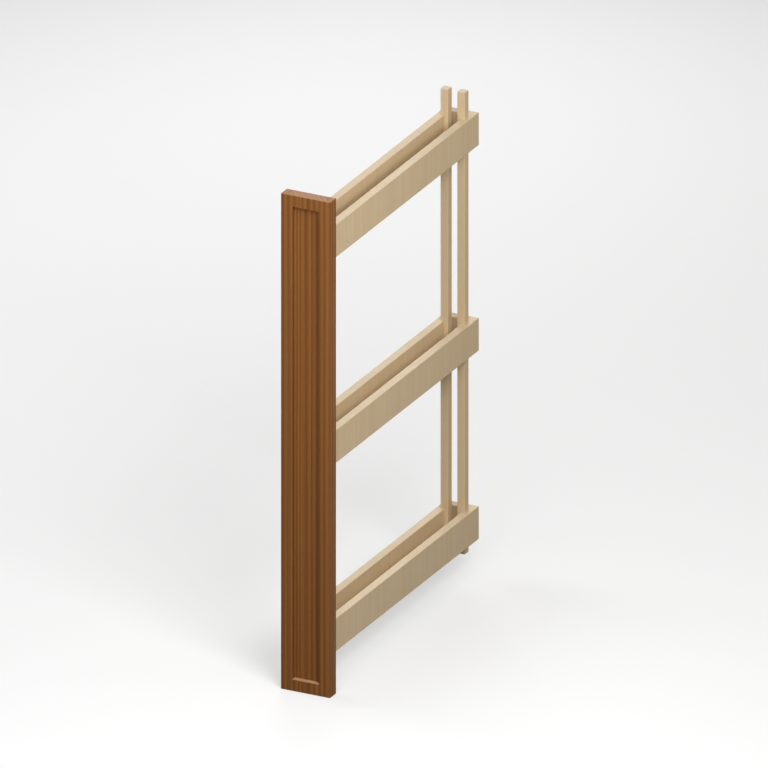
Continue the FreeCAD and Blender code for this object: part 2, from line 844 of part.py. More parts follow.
def add_bumper(slide):
    """The rubber block that stops the closing rails, with its boss in the wall rail."""
    bumper = new_slide_body(slide, "bumper", "bumper_y")
    pad_block(
        bumper,
        "0",
        "-bumper_tall / 2",
        "bumper_long",
        "bumper_tall / 2",
        "slide_wide - 2 * rail_sheet",
        "YZ_Plane",
        "rail_sheet",
    )
    boss = new_sketch(bumper, "YZ_Plane")
    draw_circle(boss, "bumper_long / 2", "0", "bumper_boss_radius")
    pad(bumper, boss, "rail_sheet + joint_play")


def add_slides(ball, screw):
    """Both slides, with their cages, balls, stops, levers and screws."""
    for slide, height in SLIDES.items():
        add_wall_rail(slide)
        add_mid_rail(slide)
        add_runner(slide)
        profile = outer_cage_profile()
        add_cage(slide, "outer", "outer_cage_y", profile, "outer_cage_long", "outer_ball_count")
        profile = inner_cage_profile()
        add_cage(slide, "inner", "inner_cage_y", profile, "inner_cage_long", "inner_ball_count")
        add_balls(slide, "outer", "outer_cage_y", "outer_ball_count", ball)
        add_balls(slide, "inner", "inner_cage_y", "inner_ball_count", ball)
        add_lever(slide)
        add_rivet(slide)
        add_bumper(slide)
        spots = [("wall_x + runner_face", f"slide_y + {y}", height) for y in RUNNER_SCREWS]
        group(f"{slide}_slide_screws", screw, spots, Rotation(Vector(0, 1, 0), -90))


# Small pieces that are modelled once and copied to their spots
def master_dowel():
    """A dowel about its own middle, along Z, with bevelled ends."""
    dowel = new_body("dowel_pattern")
    end = "dowel_long / 2"
    turn(
        dowel,
        [
            ("0", f"-{end}"),
            ("dowel_radius - dowel_bevel", f"-{end}"),
            ("dowel_radius", f"dowel_bevel - {end}"),
            ("dowel_radius", f"{end} - dowel_bevel"),
            ("dowel_radius - dowel_bevel", end),
            ("0", end),
        ],
    )
    return dowel


def master_screw(name):
    """A pan-head screw, with its head's underside at the origin and its shank along -Z."""
    screw = new_body(f"{name}_pattern")
    head = f"{name}_head_radius"
    tall = f"{name}_head_tall"
    turn(
        screw,
        [
            ("0", f"-{name}_long"),
            (f"{name}_radius", f"screw_tip_long - {name}_long"),
            (f"{name}_radius", "0"),
            (head, "0"),
            (head, f"{tall} / 2"),
            (f"{head} - {tall} / 2", tall),
            ("0", tall),
        ],
    )
    arm = "drive_arm / 2"
    span = "drive_span / 2"
    cut_block(screw, f"-{span}", f"-{arm}", span, arm, "drive_deep", lift=tall, forward=False)
    cut_block(screw, f"-{arm}", f"-{span}", arm, span, "drive_deep", lift=tall, forward=False)
    return screw


def master_pad():
    """A round bumper pad along +Z, with a bevelled crown."""
    bumper = new_body("pad_pattern")
    turn(
        bumper,
        [
            ("0", "0"),
            ("pad_radius", "0"),
            ("pad_radius", "pad_thick - pad_crown"),
            ("pad_radius - pad_crown", "pad_thick"),
            ("0", "pad_thick"),
        ],
    )
    return bumper


def master_ball():
    """One ball."""
    ball = doc.addObject("Part::Sphere", "ball_pattern")
    bind(ball, "Radius", "ball_radius")
    return ball


def add_pads(pattern):
    """Four bumper pads on the back of the front's stiles."""
    across = "door_wide / 2 - stile_wide / 2"
    spots = []
    for x in (f"-({across})", across):
        for z in ("pad_inset", "door_tall - pad_inset"):
            spots.append((x, "door_back_y", z))
    group("door_bumpers", pattern, spots, Rotation(Vector(1, 0, 0), -90))


def check_model():
    """Stop if a feature failed, a cut took nothing or a node isn't sound."""
    for thing in doc.Objects:
        if {"Invalid", "Error"} & set(thing.State):
            raise RuntimeError(f"{thing.Label} failed: {thing.State}")
    for cut in cuts:
        before = cut.BaseFeature.Shape.Volume
        if cut.Shape.Volume > before - LEAST_CUT:
            raise RuntimeError(f"{cut.Label} cuts nothing")
    for node in nodes:
        if node.Shape.isNull() or not node.Shape.isValid():
            raise RuntimeError(f"{node.Label} has no sound shape")


def write_nodes():
    """Write one file for each node."""
    os.makedirs("parts", exist_ok=True)
    whole = FreeCAD.BoundBox()
    for node in nodes:
        node.Shape.exportStep(f"parts/{node.Label}.step")
        whole.add(node.Shape.BoundBox)
    print(f"{len(nodes)} nodes, {whole.XLength:.2f} x {whole.YLength:.2f} x {whole.ZLength:.2f} mm")


fill_sheet()
add_front()
add_trays(master_dowel(), master_screw("door_screw"))
add_posts()
add_pads(master_pad())
add_slides(master_ball(), master_screw("runner_screw"))
doc.recompute()
check_model()
write_nodes()
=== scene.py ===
"""Looks of a narrow base cabinet pull-out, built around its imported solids.

The wooden boards are copies of the solids with eased edges and a solid wood grain. The slides keep
their sheet-metal forms, with finishes for zinc, steel, rubber and plastic. Balls, screws, dowels,
bumper pads and grip ribs are laid out by geometry nodes.
"""

from __future__ import annotations

import json
import logging
import math
import random
from dataclasses import dataclass, field
from enum import Enum
from typing import Sequence

import bmesh
import bpy
from bmesh.types import BMEdge, BMesh, BMVert
from bpy.types import Material, Node, NodeSocket, NodeTree, Object
from mathutils import Matrix, Vector
from mathutils.bvhtree import BVHTree

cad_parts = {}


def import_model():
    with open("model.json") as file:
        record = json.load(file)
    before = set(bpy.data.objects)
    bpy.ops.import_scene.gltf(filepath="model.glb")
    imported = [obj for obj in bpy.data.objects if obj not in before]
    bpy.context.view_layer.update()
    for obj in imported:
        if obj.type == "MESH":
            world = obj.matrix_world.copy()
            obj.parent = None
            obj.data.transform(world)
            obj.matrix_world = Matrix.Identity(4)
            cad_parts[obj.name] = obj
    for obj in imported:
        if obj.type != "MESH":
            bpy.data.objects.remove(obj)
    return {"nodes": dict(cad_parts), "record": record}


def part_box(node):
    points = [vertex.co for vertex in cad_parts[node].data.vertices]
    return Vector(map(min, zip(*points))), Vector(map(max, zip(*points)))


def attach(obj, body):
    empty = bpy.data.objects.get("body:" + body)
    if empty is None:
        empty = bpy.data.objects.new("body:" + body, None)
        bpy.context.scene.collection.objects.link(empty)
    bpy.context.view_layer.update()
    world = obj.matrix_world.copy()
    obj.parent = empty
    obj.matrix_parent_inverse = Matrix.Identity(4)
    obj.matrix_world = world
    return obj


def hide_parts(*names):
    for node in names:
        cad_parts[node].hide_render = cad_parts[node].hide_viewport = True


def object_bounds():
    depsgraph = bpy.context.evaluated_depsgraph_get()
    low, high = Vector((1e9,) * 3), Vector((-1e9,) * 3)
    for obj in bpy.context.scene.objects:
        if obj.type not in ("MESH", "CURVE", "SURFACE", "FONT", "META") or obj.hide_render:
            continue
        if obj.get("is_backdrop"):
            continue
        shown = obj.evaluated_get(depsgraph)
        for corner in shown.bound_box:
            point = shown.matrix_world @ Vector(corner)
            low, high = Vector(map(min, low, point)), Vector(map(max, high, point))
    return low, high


log = logging.getLogger("pull_out")

MM = 0.001

# What a board's mesh carries for its finish.
GRAIN = "grain"
EDGE = "worn_edge"
# Faces across the fibres: real end grain on the dowels, a paler painted sheen on the front, tray
# and post boards.
END_GRAIN_AND_SHEEN = "end_grain"
TONE = "board_tone"
# Painted sheen: a pale colour on the ledge of the front's bottom rail.
LEDGE_SHEEN = "settled_dust"

# The curve from display levels to linear light.
TOP_LEVEL = 255
KNEE = 0.04045
KNEE_SLOPE = 12.92
CURVE_LIFT = 0.055
CURVE_POWER = 2.4

Colour = tuple[float, float, float]
Feeds = dict[str | int, object]


class Run(Enum):
    """The direction in which a board's fibres run, as (first cross axis, second, along)."""

    ACROSS = (1, 2, 0)
    INWARD = (2, 0, 1)
    UPRIGHT = (0, 1, 2)


class Side(Enum):
    """A side of the pull-out."""

    LEFT = "left"
    RIGHT = "right"


class Tier(Enum):
    """A tray's place in the stack."""

    BOTTOM = "bottom"
    MIDDLE = "middle"
    TOP = "top"


class Mount(Enum):
    """A slide's place on the wall."""

    LOWER = "lower"
    UPPER = "upper"


class Race(Enum):
    """One of a slide's two sets of balls."""

    OUTER = "outer"
    INNER = "inner"


def linear(*levels: int) -> Colour:
    """A linear colour from display levels.

    Args:
        *levels: Red, green and blue, from 0 to 255.

    Returns:
        The three linear channels.
    """
    channels = []
    for level in levels:
        share = level / TOP_LEVEL
        curved = ((share + CURVE_LIFT) / (1 + CURVE_LIFT)) ** CURVE_POWER
        channels.append(share / KNEE_SLOPE if share <= KNEE else curved)
    return tuple(channels)


def linked(name: str, data: object) -> Object:
    """Put a new object into the scene.

    Args:
        name: The object's name.
        data: Its mesh, lamp or camera.

    Returns:
        The object.
    """
    made = bpy.data.objects.new(name, data)
    bpy.context.scene.collection.objects.link(made)
    return made


def shaded(copy: BMesh, name: str, sharp: float, smooth: bool = True) -> Object:
    """Turn an edited mesh into an object.

    Args:
        copy: The mesh, which is freed.
        name: The object's name.
        sharp: The bend from which an edge stays sharp, in radians.
        smooth: Shade round stretches smoothly.

    Returns:
        The object.
    """
    for edge in copy.edges:
        bend = edge.calc_face_angle(math.pi) if len(edge.link_faces) == 2 else math.pi
        edge.smooth = smooth and bend < sharp
    for face in copy.faces:
        face.smooth = smooth
    mesh = bpy.data.meshes.new(name)
    copy.to_mesh(mesh)
    copy.free()
    return linked(name, mesh)


class Wiring:
    """Adds nodes to one tree and joins them."""

    def __init__(self, tree: NodeTree) -> None:
        """Start on a tree."""
        self.tree = tree

    def fill(self, node: Node, feeds: Feeds) -> None:
        """Join sockets to a node's inputs, or set their values.

        Args:
            node: The node.
            feeds: Sockets and constants, by the input's name or number.
        """
        for name, value in feeds.items():
            if isinstance(value, NodeSocket):
                self.tree.links.new(value, node.inputs[name])
            else:
                node.inputs[name].default_value = value

    def add(self, kind: str, feeds: Feeds | None = None, **settings: object) -> Node:
        """Add a node.

        Args:
            kind: The node's type name.
            feeds: Sockets and constants for its inputs.
            **settings: Properties to set on it first.

        Returns:
            The new node.
        """
        node = self.tree.nodes.new(kind)
        for name, value in settings.items():
            setattr(node, name, value)
        self.fill(node, feeds or {})
        return node

    def maths(self, operation: str, *values: object, clamp: bool = False) -> NodeSocket:
        """A number worked out from others, by a Math node's operation."""
        feeds = dict(enumerate(values))
        return self.add("ShaderNodeMath", feeds, operation=operation, use_clamp=clamp).outputs[0]

    def vector(self, operation: str, *values: object, out: str = "Vector") -> NodeSocket:
        """A vector or a length, by a Vector Math node's operation."""
        feeds = dict(enumerate(values))
        return self.add("ShaderNodeVectorMath", feeds, operation=operation).outputs[out]

    def attribute(self, name: str, out: str = "Fac") -> NodeSocket:
        """A value that the mesh carries."""
        return self.add("ShaderNodeAttribute", attribute_name=name).outputs[out]

    def noise(
        self, place: NodeSocket, stretch: object, detail: float = 2.0, roughness: float = 0.5
    ) -> NodeSocket:
        """A noise pattern.

        Args:
            place: The place, in metres.
            stretch: Features per metre on each axis, or one number for all.
            detail: Octaves of finer noise.
            roughness: Strength of the finer noise.

        Returns:
            The noise, around 0.5.
        """
        feeds = {
            "Vector": self.vector("MULTIPLY", place, stretch),
            "Scale": 1.0,
            "Detail": detail,
            "Roughness": roughness,
        }
        return self.add("ShaderNodeTexNoise", feeds).outputs[0]

    def ramp(self, value: object, *limits: object) -> NodeSocket:
        """A number taken smoothly from one range to another, which is 0 to 1 if left out."""
        feeds = dict(enumerate((value, *limits)))
        return self.add("ShaderNodeMapRange", feeds, interpolation_type="SMOOTHSTEP").outputs[0]

    def blend(self, share: object, *colours: object) -> NodeSocket:
        """Mix two colours.

        Args:
            share: How much of the second.
            *colours: Two colours or sockets.

        Returns:
            The mixed colour.
        """
        node = self.add("ShaderNodeMix", {"Factor": share}, data_type="RGBA")
        values = [value if isinstance(value, NodeSocket) else (*value, 1.0) for value in colours]
        places = [index for index, socket in enumerate(node.inputs) if socket.type == "RGBA"]
        self.fill(node, dict(zip(places, values)))
        return next(socket for socket in node.outputs if socket.type == "RGBA")

    def seen(self) -> NodeSocket:
        """Whether a ray comes from the camera, a gloss or a clear piece.

        Returns:
            1 where it does, otherwise 0.
        """
        path = self.add("ShaderNodeLightPath").outputs
        seen = self.maths("ADD", path["Is Camera Ray"], path["Is Glossy Ray"])
        return self.maths("ADD", seen, path["Is Transmission Ray"], clamp=True)


class NodeGroup:
    """A node group that is built once, when it is first asked for."""

    kind = "ShaderNodeTree"
    title = ""
    inputs: tuple[tuple[str, str], ...] = ()
    outputs: tuple[tuple[str, str], ...] = ()

    def tree(self) -> NodeTree:
        """The group's tree.

        Returns:
            The tree, built on the first call.
        """
        made = bpy.data.node_groups.get(self.title)
        if made:
            return made
        made = bpy.data.node_groups.new(self.title, self.kind)
        for way, sockets in (("INPUT", self.inputs), ("OUTPUT", self.outputs)):
            for name, kind in sockets:
                made.interface.new_socket(name, in_out=way, socket_type=f"NodeSocket{kind}")
        wiring = Wiring(made)
        results = self.wire(wiring, wiring.add("NodeGroupInput").outputs)
        wiring.add("NodeGroupOutput", results)
        return made

    def wire(self, wiring: Wiring, given: object) -> dict[str, NodeSocket]:
        """Make the group's nodes.

        Args:
            wiring: Adds the nodes.
            given: The group's inputs, by name.

        Returns:
            The socket that feeds each output.
        """
        raise NotImplementedError

    def place(self, wiring: Wiring, feeds: Feeds) -> object:
        """Put the group into a material, and give its outputs by name."""
        return wiring.add("ShaderNodeGroup", feeds, node_tree=self.tree()).outputs


class TimberGroup(NodeGroup):
    """Growth rings, streaks, fibres and pores of a solid board."""

    title = "timber grain"
    inputs = (
        ("Coordinate", "Vector"),
        ("Ring Spacing", "Float"),
        ("Ring Wander", "Float"),
        ("Streak Density", "Float"),
    )
    outputs = tuple((name, "Float") for name in ("Rings", "Streaks", "Fibres", "Pores", "Figure"))
    pith = (0.31, 0.05, 0.0)
    wander = (9.0, 9.0, 1.6)
    uneven = 90.0
    uneven_share = 1.3
    late_wood = (0.1, 0.7)
    ring_edge = (1.0, 0.74)
    streak_flatness = 0.6
    streak_run = 1.1
    streak_detail = 3.0
    streak_roughness = 0.55
    streak_limits = (0.28, 0.72)
    fibres = (1500.0, 1500.0, 28.0)
    pores = (2300.0, 2300.0, 150.0)
    pore_limits = (0.66, 0.78)
    figure = (14.0, 14.0, 3.5)

    def wire(self, wiring: Wiring, given: object) -> dict[str, NodeSocket]:
        """Make the group's nodes.

        Args:
            wiring: Adds the nodes.
            given: The group's inputs, by name.

        Returns:
            The socket that feeds each output.
        """
        place = given["Coordinate"]
        drift = wiring.maths("SUBTRACT", wiring.noise(place, self.wander), 0.5)
        drift = wiring.maths("MULTIPLY", drift, given["Ring Wander"])
        across = wiring.vector("MULTIPLY", place, (1.0, 1.0, 0.0))
        radius = wiring.vector("DISTANCE", across, self.pith, out="Value")
        radius = wiring.maths("ADD", radius, drift)
        feeds = {"W": radius, "Scale": self.uneven}
        uneven = wiring.add("ShaderNodeTexNoise", feeds, noise_dimensions="1D").outputs[0]
        turns = wiring.maths("DIVIDE", radius, given["Ring Spacing"])
        turns = wiring.maths("MULTIPLY_ADD", uneven, self.uneven_share, turns)
        phase = wiring.maths("FRACT", turns)
        late = wiring.ramp(phase, *self.late_wood)
        fine = given["Streak Density"]
        flat = wiring.maths("MULTIPLY", fine, self.streak_flatness)
        feeds = {"X": fine, "Y": flat, "Z": self.streak_run}
        stretch = wiring.add("ShaderNodeCombineXYZ", feeds).outputs[0]
        streaks = wiring.noise(place, stretch, self.streak_detail, self.streak_roughness)
        pores = wiring.noise(place, self.pores, detail=0.0)
        return {
            "Rings": wiring.maths("MULTIPLY", late, wiring.ramp(phase, *self.ring_edge)),
            "Streaks": wiring.ramp(streaks, *self.streak_limits),
            "Fibres": wiring.noise(place, self.fibres),
            "Pores": wiring.ramp(pores, *self.pore_limits),
            "Figure": wiring.noise(place, self.figure),
        }


class WearGroup(NodeGroup):
    """Where an eased edge has been rubbed, broken up so that no edge is worn evenly."""

    title = "edge wear"
    inputs = (("Coordinate", "Vector"), ("Amount", "Float"))
    outputs = (("Mask", "Float"),)
    patches = (55.0, 55.0, 55.0)
    detail = 4.0
    limits = (0.38, 0.62, 0.25, 1.0)

    def wire(self, wiring: Wiring, given: object) -> dict[str, NodeSocket]:
        """Make the group's nodes.

        Args:
            wiring: Adds the nodes.
            given: The group's inputs, by name.

        Returns:
            The socket that feeds each output.
        """
        patches = wiring.noise(given["Coordinate"], self.patches, self.detail)
        patches = wiring.ramp(patches, *self.limits)
        mask = wiring.maths("MULTIPLY", wiring.attribute(EDGE), patches)
        return {"Mask": wiring.maths("MULTIPLY", mask, given["Amount"], clamp=True)}


class HandlingGroup(NodeGroup):
    """Broad patches of touch, which change how a surface shines."""

    title = "handling"
    inputs = (("Coordinate", "Vector"), ("Patch Density", "Float"))
    outputs = (("Patches", "Float"),)
    detail = 4.0
    limits = (0.3, 0.7)

    def wire(self, wiring: Wiring, given: object) -> dict[str, NodeSocket]:
        """Make the group's nodes, and give the socket that feeds its output."""
        patches = wiring.noise(given["Coordinate"], given["Patch Density"], self.detail)
        return {"Patches": wiring.ramp(patches, *self.limits)}


class RollingGroup(NodeGroup):
    """Fine lines along a rolled or drawn metal surface."""

    title = "rolling lines"
    inputs = (("Coordinate", "Vector"),)
    outputs = (("Lines", "Float"), ("Scratches", "Float"))
    lines = (2600.0, 9.0, 2600.0)
    line_detail = 3.0
    scratches = (700.0, 2.2, 700.0)
    scratch_limits = (0.66, 0.72)

    def wire(self, wiring: Wiring, given: object) -> dict[str, NodeSocket]:
        """Make the group's nodes.

        Args:
            wiring: Adds the nodes.
            given: The group's inputs, by name.

        Returns:
            The socket that feeds each output.
        """
        lines = wiring.noise(given["Coordinate"], self.lines, self.line_detail)
        scratches = wiring.noise(given["Coordinate"], self.scratches)
        return {"Lines": lines, "Scratches": wiring.ramp(scratches, *self.scratch_limits)}


@dataclass(frozen=True, kw_only=True)
class Finish:
    """A surface finish that makes one material."""

    name: str
    roughness: float

    def material(self) -> Material:
        """The finish's material, made on the first call.

        Returns:
            The material.
        """
        made = bpy.data.materials.get(self.name)
        if made:
            return made
        made = bpy.data.materials.new(self.name)
        made.use_nodes = True
        made.node_tree.nodes.clear()
        wiring = Wiring(made.node_tree)
        shader = wiring.add("ShaderNodeBsdfPrincipled")
        wiring.add("ShaderNodeOutputMaterial", {"Surface": shader.outputs[0]})
        self.wire(wiring, shader)
        return made

    def wire(self, wiring: Wiring, shader: Node) -> None:
        """Set the shader's inputs.

        Args:
            wiring: Adds the nodes.
            shader: The material's Principled BSDF.
        """
        raise NotImplementedError


@dataclass(frozen=True, kw_only=True)
class PieceFinish(Finish):
    """A finish for the object's pieces, with relief, rubbed edges and touched patches."""

    slot: str
    wear: float
    depth: float
    patch_density: float
    patch_rough: float

    def place(self, wiring: Wiring) -> NodeSocket:
        """The place on the piece, in metres."""
        return wiring.add("ShaderNodeTexCoord").outputs["Object"]

    def rubbed(self, wiring: Wiring, place: NodeSocket) -> NodeSocket:
        """The mask of rubbed edges."""
        return WearGroup().place(wiring, {"Coordinate": place, "Amount": self.wear})["Mask"]

    def touched(self, wiring: Wiring, place: NodeSocket) -> NodeSocket:
        """The pattern of touched patches."""
        feeds = {"Coordinate": place, "Patch Density": self.patch_density}
        return HandlingGroup().place(wiring, feeds)["Patches"]

    def coat(
        self,
        wiring: Wiring,
        shader: Node,
        colour: NodeSocket,
        rough: object,
        patches: NodeSocket,
        height: NodeSocket,
    ) -> None:
        """Give the shader its colour, roughness and relief.

        Args:
            wiring: Adds the nodes.
            shader: The material's Principled BSDF.
            colour: The surface's colour.
            rough: Its roughness outside the touched patches.
            patches: The pattern of touched patches.
            height: The relief's pattern, from 0 to 1.
        """
        relief = {"Strength": 1.0, "Distance": self.depth, "Height": height}
        feeds = {
            "Base Color": colour,
            "Roughness": wiring.maths("MULTIPLY_ADD", patches, self.patch_rough, rough),
            "Normal": wiring.add("ShaderNodeBump", relief).outputs[0],
        }
        wiring.fill(shader, feeds)


@dataclass(frozen=True, kw_only=True)
class TimberFinish(PieceFinish):
    """Lacquered solid wood."""

    pale: Colour
    deep: Colour
    pore: Colour
    bare: Colour
    # Colour of the faces across the fibres: darker real end grain on the dowels, a paler painted
    # sheen on the front and trays.
    end: Colour
    # Pale colour over the upward faces of boards marked for it: a painted sheen, used only on the
    # front's ledge.
    dust_and_sheen: Colour = linear(205, 190, 170)
    ledge_sheen_cover: tuple[float, float] = (0.3, 0.4)
    ring_spacing: float = 4 * MM
    ring_wander: float = 4 * MM
    ring_share: float = 0.35
    streak_density: float = 160.0
    streak_share: float = 0.5
    fibre_share: float = 0.12
    fibre_rough: float = 0.1
    figure_share: float = 0.15
    pore_share: float = 0.4
    tone_share: float = 0.05
    end_fade: float = 0.5
    roughness: float = 0.42
    gloss: float = 0.3
    wear: float = 0.35
    depth: float = 0.02 * MM
    patch_density: float = 22.0
    patch_rough: float = 0.07

    def place(self, wiring: Wiring) -> NodeSocket:
        """The place in the log that the board was cut from, in metres."""
        return wiring.attribute(GRAIN, "Vector")

    def wire(self, wiring: Wiring, shader: Node) -> None:
        """Set the shader's inputs.

        Args:
            wiring: Adds the nodes.
            shader: The material's Principled BSDF.
        """
        place = self.place(wiring)
        feeds = {
            "Coordinate": place,
            "Ring Spacing": self.ring_spacing,
            "Ring Wander": self.ring_wander,
            "Streak Density": self.streak_density,
        }
        timber = TimberGroup().place(wiring, feeds)
        patches = self.touched(wiring, place)
        shares = {
            "Rings": self.ring_share,
            "Streaks": self.streak_share,
            "Fibres": self.fibre_share,
            "Figure": self.figure_share,
        }
        depth: object = 0.0
        for name, share in shares.items():
            depth = wiring.maths("MULTIPLY_ADD", timber[name], share, depth)
        depth = wiring.maths("MULTIPLY_ADD", wiring.attribute(TONE), self.tone_share, depth)
        depth = wiring.maths("DIVIDE", depth, sum(shares.values()), clamp=True)
        colour = wiring.blend(depth, self.pale, self.deep)
        # Painted sheen: faces across the fibres take the end colour, which is paler on the front
        # and trays.
        cut = wiring.maths("MULTIPLY_ADD", depth, -self.end_fade, 1.0)
        cut = wiring.maths("MULTIPLY", wiring.attribute(END_GRAIN_AND_SHEEN), cut)
        colour = wiring.blend(cut, colour, self.end)
        pores = wiring.maths("MULTIPLY", timber["Pores"], self.pore_share)
        colour = wiring.blend(pores, colour, self.pore)
        colour = wiring.blend(self.rubbed(wiring, place), colour, self.bare)
        # Painted sheen: a pale colour over the upward faces marked for it, which is the ledge of
        # the front's bottom rail.
        cover = wiring.maths("MULTIPLY_ADD", patches, *self.ledge_sheen_cover)
        dust_and_sheen = wiring.maths("MULTIPLY", wiring.attribute(LEDGE_SHEEN), cover)
        colour = wiring.blend(dust_and_sheen, colour, self.dust_and_sheen)
        rough = self.roughness - self.fibre_rough / 2
        rough = wiring.maths("MULTIPLY_ADD", timber["Fibres"], self.fibre_rough, rough)
        height = wiring.maths("SUBTRACT", timber["Fibres"], timber["Pores"])
        shader.inputs["Specular IOR Level"].default_value = self.gloss
        self.coat(wiring, shader, colour, rough, patches, height)


@dataclass(frozen=True, kw_only=True)
class MetalFinish(PieceFinish):
    """Plated or polished steel."""

    colour: Colour
    tint: Colour
    bright: Colour = (0.86, 0.86, 0.86)
    roughness: float = 0.3
    line_share: float = 0.14
    scratch_share: float = 0.35
    scratch_shade: float = 0.6
    wear: float = 0.5
    depth: float = 0.004 * MM
    patch_density: float = 34.0
    patch_rough: float = 0.08

    def wire(self, wiring: Wiring, shader: Node) -> None:
        """Set the shader's inputs.

        Args:
            wiring: Adds the nodes.
            shader: The material's Principled BSDF.
        """
        place = self.place(wiring)
        rolled = RollingGroup().place(wiring, {"Coordinate": place})
        patches = self.touched(wiring, place)
        colour = wiring.blend(patches, self.colour, self.tint)
        scratches = wiring.maths("MULTIPLY", rolled["Scratches"], self.scratch_share)
        dull = tuple(self.scratch_shade * channel for channel in self.colour)
        colour = wiring.blend(scratches, colour, dull)
        colour = wiring.blend(self.rubbed(wiring, place), colour, self.bright)
        rough = wiring.maths("MULTIPLY_ADD", rolled["Lines"], self.line_share, self.roughness)
        shader.inputs["Metallic"].default_value = 1.0
        self.coat(wiring, shader, colour, rough, patches, rolled["Lines"])


@dataclass(frozen=True, kw_only=True)
class MouldedFinish(PieceFinish):
    """Moulded plastic or rubber."""

    colour: Colour
    dusty_and_sheened: Colour
    dust_share: float = 0.35
    roughness: float = 0.5
    smoother: float = 0.07
    wear: float = 0.3
    depth: float = 0.015 * MM
    grain: Colour = (2400.0, 2400.0, 2400.0)
    patch_density: float = 60.0
    patch_rough: float = 0.15

    def wire(self, wiring: Wiring, shader: Node) -> None:
        """Set the shader's inputs.

        Args:
            wiring: Adds the nodes.
            shader: The material's Principled BSDF.
        """
        place = self.place(wiring)
        patches = self.touched(wiring, place)
        dust_and_sheen = wiring.maths("MULTIPLY", patches, self.dust_share)
        colour = wiring.blend(dust_and_sheen, self.colour, self.dusty_and_sheened)
        colour = wiring.blend(self.rubbed(wiring, place), colour, self.dusty_and_sheened)
        height = wiring.noise(place, self.grain)
        self.coat(wiring, shader, colour, self.roughness - self.smoother, patches, height)


@dataclass(frozen=True, kw_only=True)
class FloorPaint(Finish):
    """Floor paint that looks pale where it is seen, and throws little light on the object."""

    roughness: float = 1.0
    bounce: Colour = (0.16, 0.16, 0.16)
    shown: Colour = (0.55, 0.55, 0.55)
    glow: Colour = (0.36, 0.36, 0.358)

    def wire(self, wiring: Wiring, shader: Node) -> None:
        """Set the shader's inputs.

        Args:
            wiring: Adds the nodes.
            shader: The material's Principled BSDF.
        """
        seen = wiring.seen()
        feeds = {
            "Base Color": wiring.blend(seen, self.bounce, self.shown),
            "Roughness": self.roughness,
            "Specular IOR Level": 0.0,
            "Emission Color": wiring.blend(seen, (0, 0, 0), self.glow),
            "Emission Strength": 1.0,
        }
        wiring.fill(shader, feeds)


FRONT_WOOD = TimberFinish(
    name="stained front wood",
    slot="front_wood",
    pale=linear(146, 97, 52),
    deep=linear(93, 53, 17),
    pore=linear(78, 43, 14),
    bare=linear(147, 99, 54),
    # A painted sheen on the front's top, bottom and ledge faces.
    end=linear(165, 123, 88),
    # The painted sheen on the ledge of the front's bottom rail.
    dust_and_sheen=linear(205, 165, 131),
    ring_spacing=6 * MM,
    ring_wander=3 * MM,
    ring_share=0.5,
    streak_density=330.0,
    tone_share=0.0,
    fibre_share=0.15,
    figure_share=0.2,
    pore_share=0.3,
    roughness=0.55,
    gloss=0.12,
)
TRAY_WOOD = TimberFinish(
    name="pale tray wood",
    slot="tray_wood",
    pale=linear(210, 187, 152),
    deep=linear(200, 176, 138),
    pore=linear(172, 145, 110),
    bare=linear(212, 193, 164),
    # A painted sheen on the top edges of the tray boards and on the post tops.
    end=linear(205, 190, 172),
    ring_spacing=7 * MM,
    ring_share=0.25,
    streak_density=210.0,
    streak_share=0.35,
    fibre_share=0.25,
    pore_share=0.2,
    roughness=0.5,
    gloss=0.18,
    wear=0.2,
)
DOWEL_WOOD = TimberFinish(
    name="plain dowel wood",
    slot="dowel_wood",
    pale=linear(212, 182, 140),
    deep=linear(188, 152, 108),
    pore=linear(156, 118, 80),
    bare=linear(212, 182, 140),
    end=linear(190, 156, 114),
    roughness=0.62,
)
RAIL_ZINC = MetalFinish(
    name="bright rail zinc",
    slot="zinc_steel",
    colour=(0.56, 0.575, 0.6),
    tint=(0.5, 0.51, 0.52),
)
CAGE_ZINC = MetalFinish(
    name="dull cage zinc",
    slot="cage_steel",
    colour=(0.45, 0.45, 0.44),
    tint=(0.36, 0.36, 0.35),
    roughness=0.42,
)
SCREW_ZINC = MetalFinish(
    name="screw zinc",
    slot="screw_steel",
    colour=(0.58, 0.58, 0.55),
    tint=(0.5, 0.49, 0.45),
    roughness=0.26,
)
BALL_STEEL = MetalFinish(
    name="polished ball steel",
    slot="ball_steel",
    colour=(0.74, 0.75, 0.77),
    tint=(0.7, 0.71, 0.73),
    roughness=0.06,
    line_share=0.02,
    wear=0.0,
    depth=0.0005 * MM,
)
LEVER_PLASTIC = MouldedFinish(
    name="black lever plastic",
    slot="lever_plastic",
    colour=(0.022, 0.022, 0.024),
    dusty_and_sheened=(0.07, 0.07, 0.07),
)
STOP_RUBBER = MouldedFinish(
    name="stop rubber",
    slot="stop_rubber",
    colour=(0.02, 0.02, 0.02),
    dusty_and_sheened=(0.06, 0.058, 0.055),
    roughness=0.72,
    depth=0.03 * MM,
)
PAD_RUBBER = MouldedFinish(
    name="clear pad rubber",
    slot="bumper_pad",
    colour=(0.6, 0.6, 0.57),
    dusty_and_sheened=(0.52, 0.51, 0.47),
    roughness=0.3,
    depth=0.004 * MM,
)
FLOOR_PAINT = FloorPaint(name="floor paint")


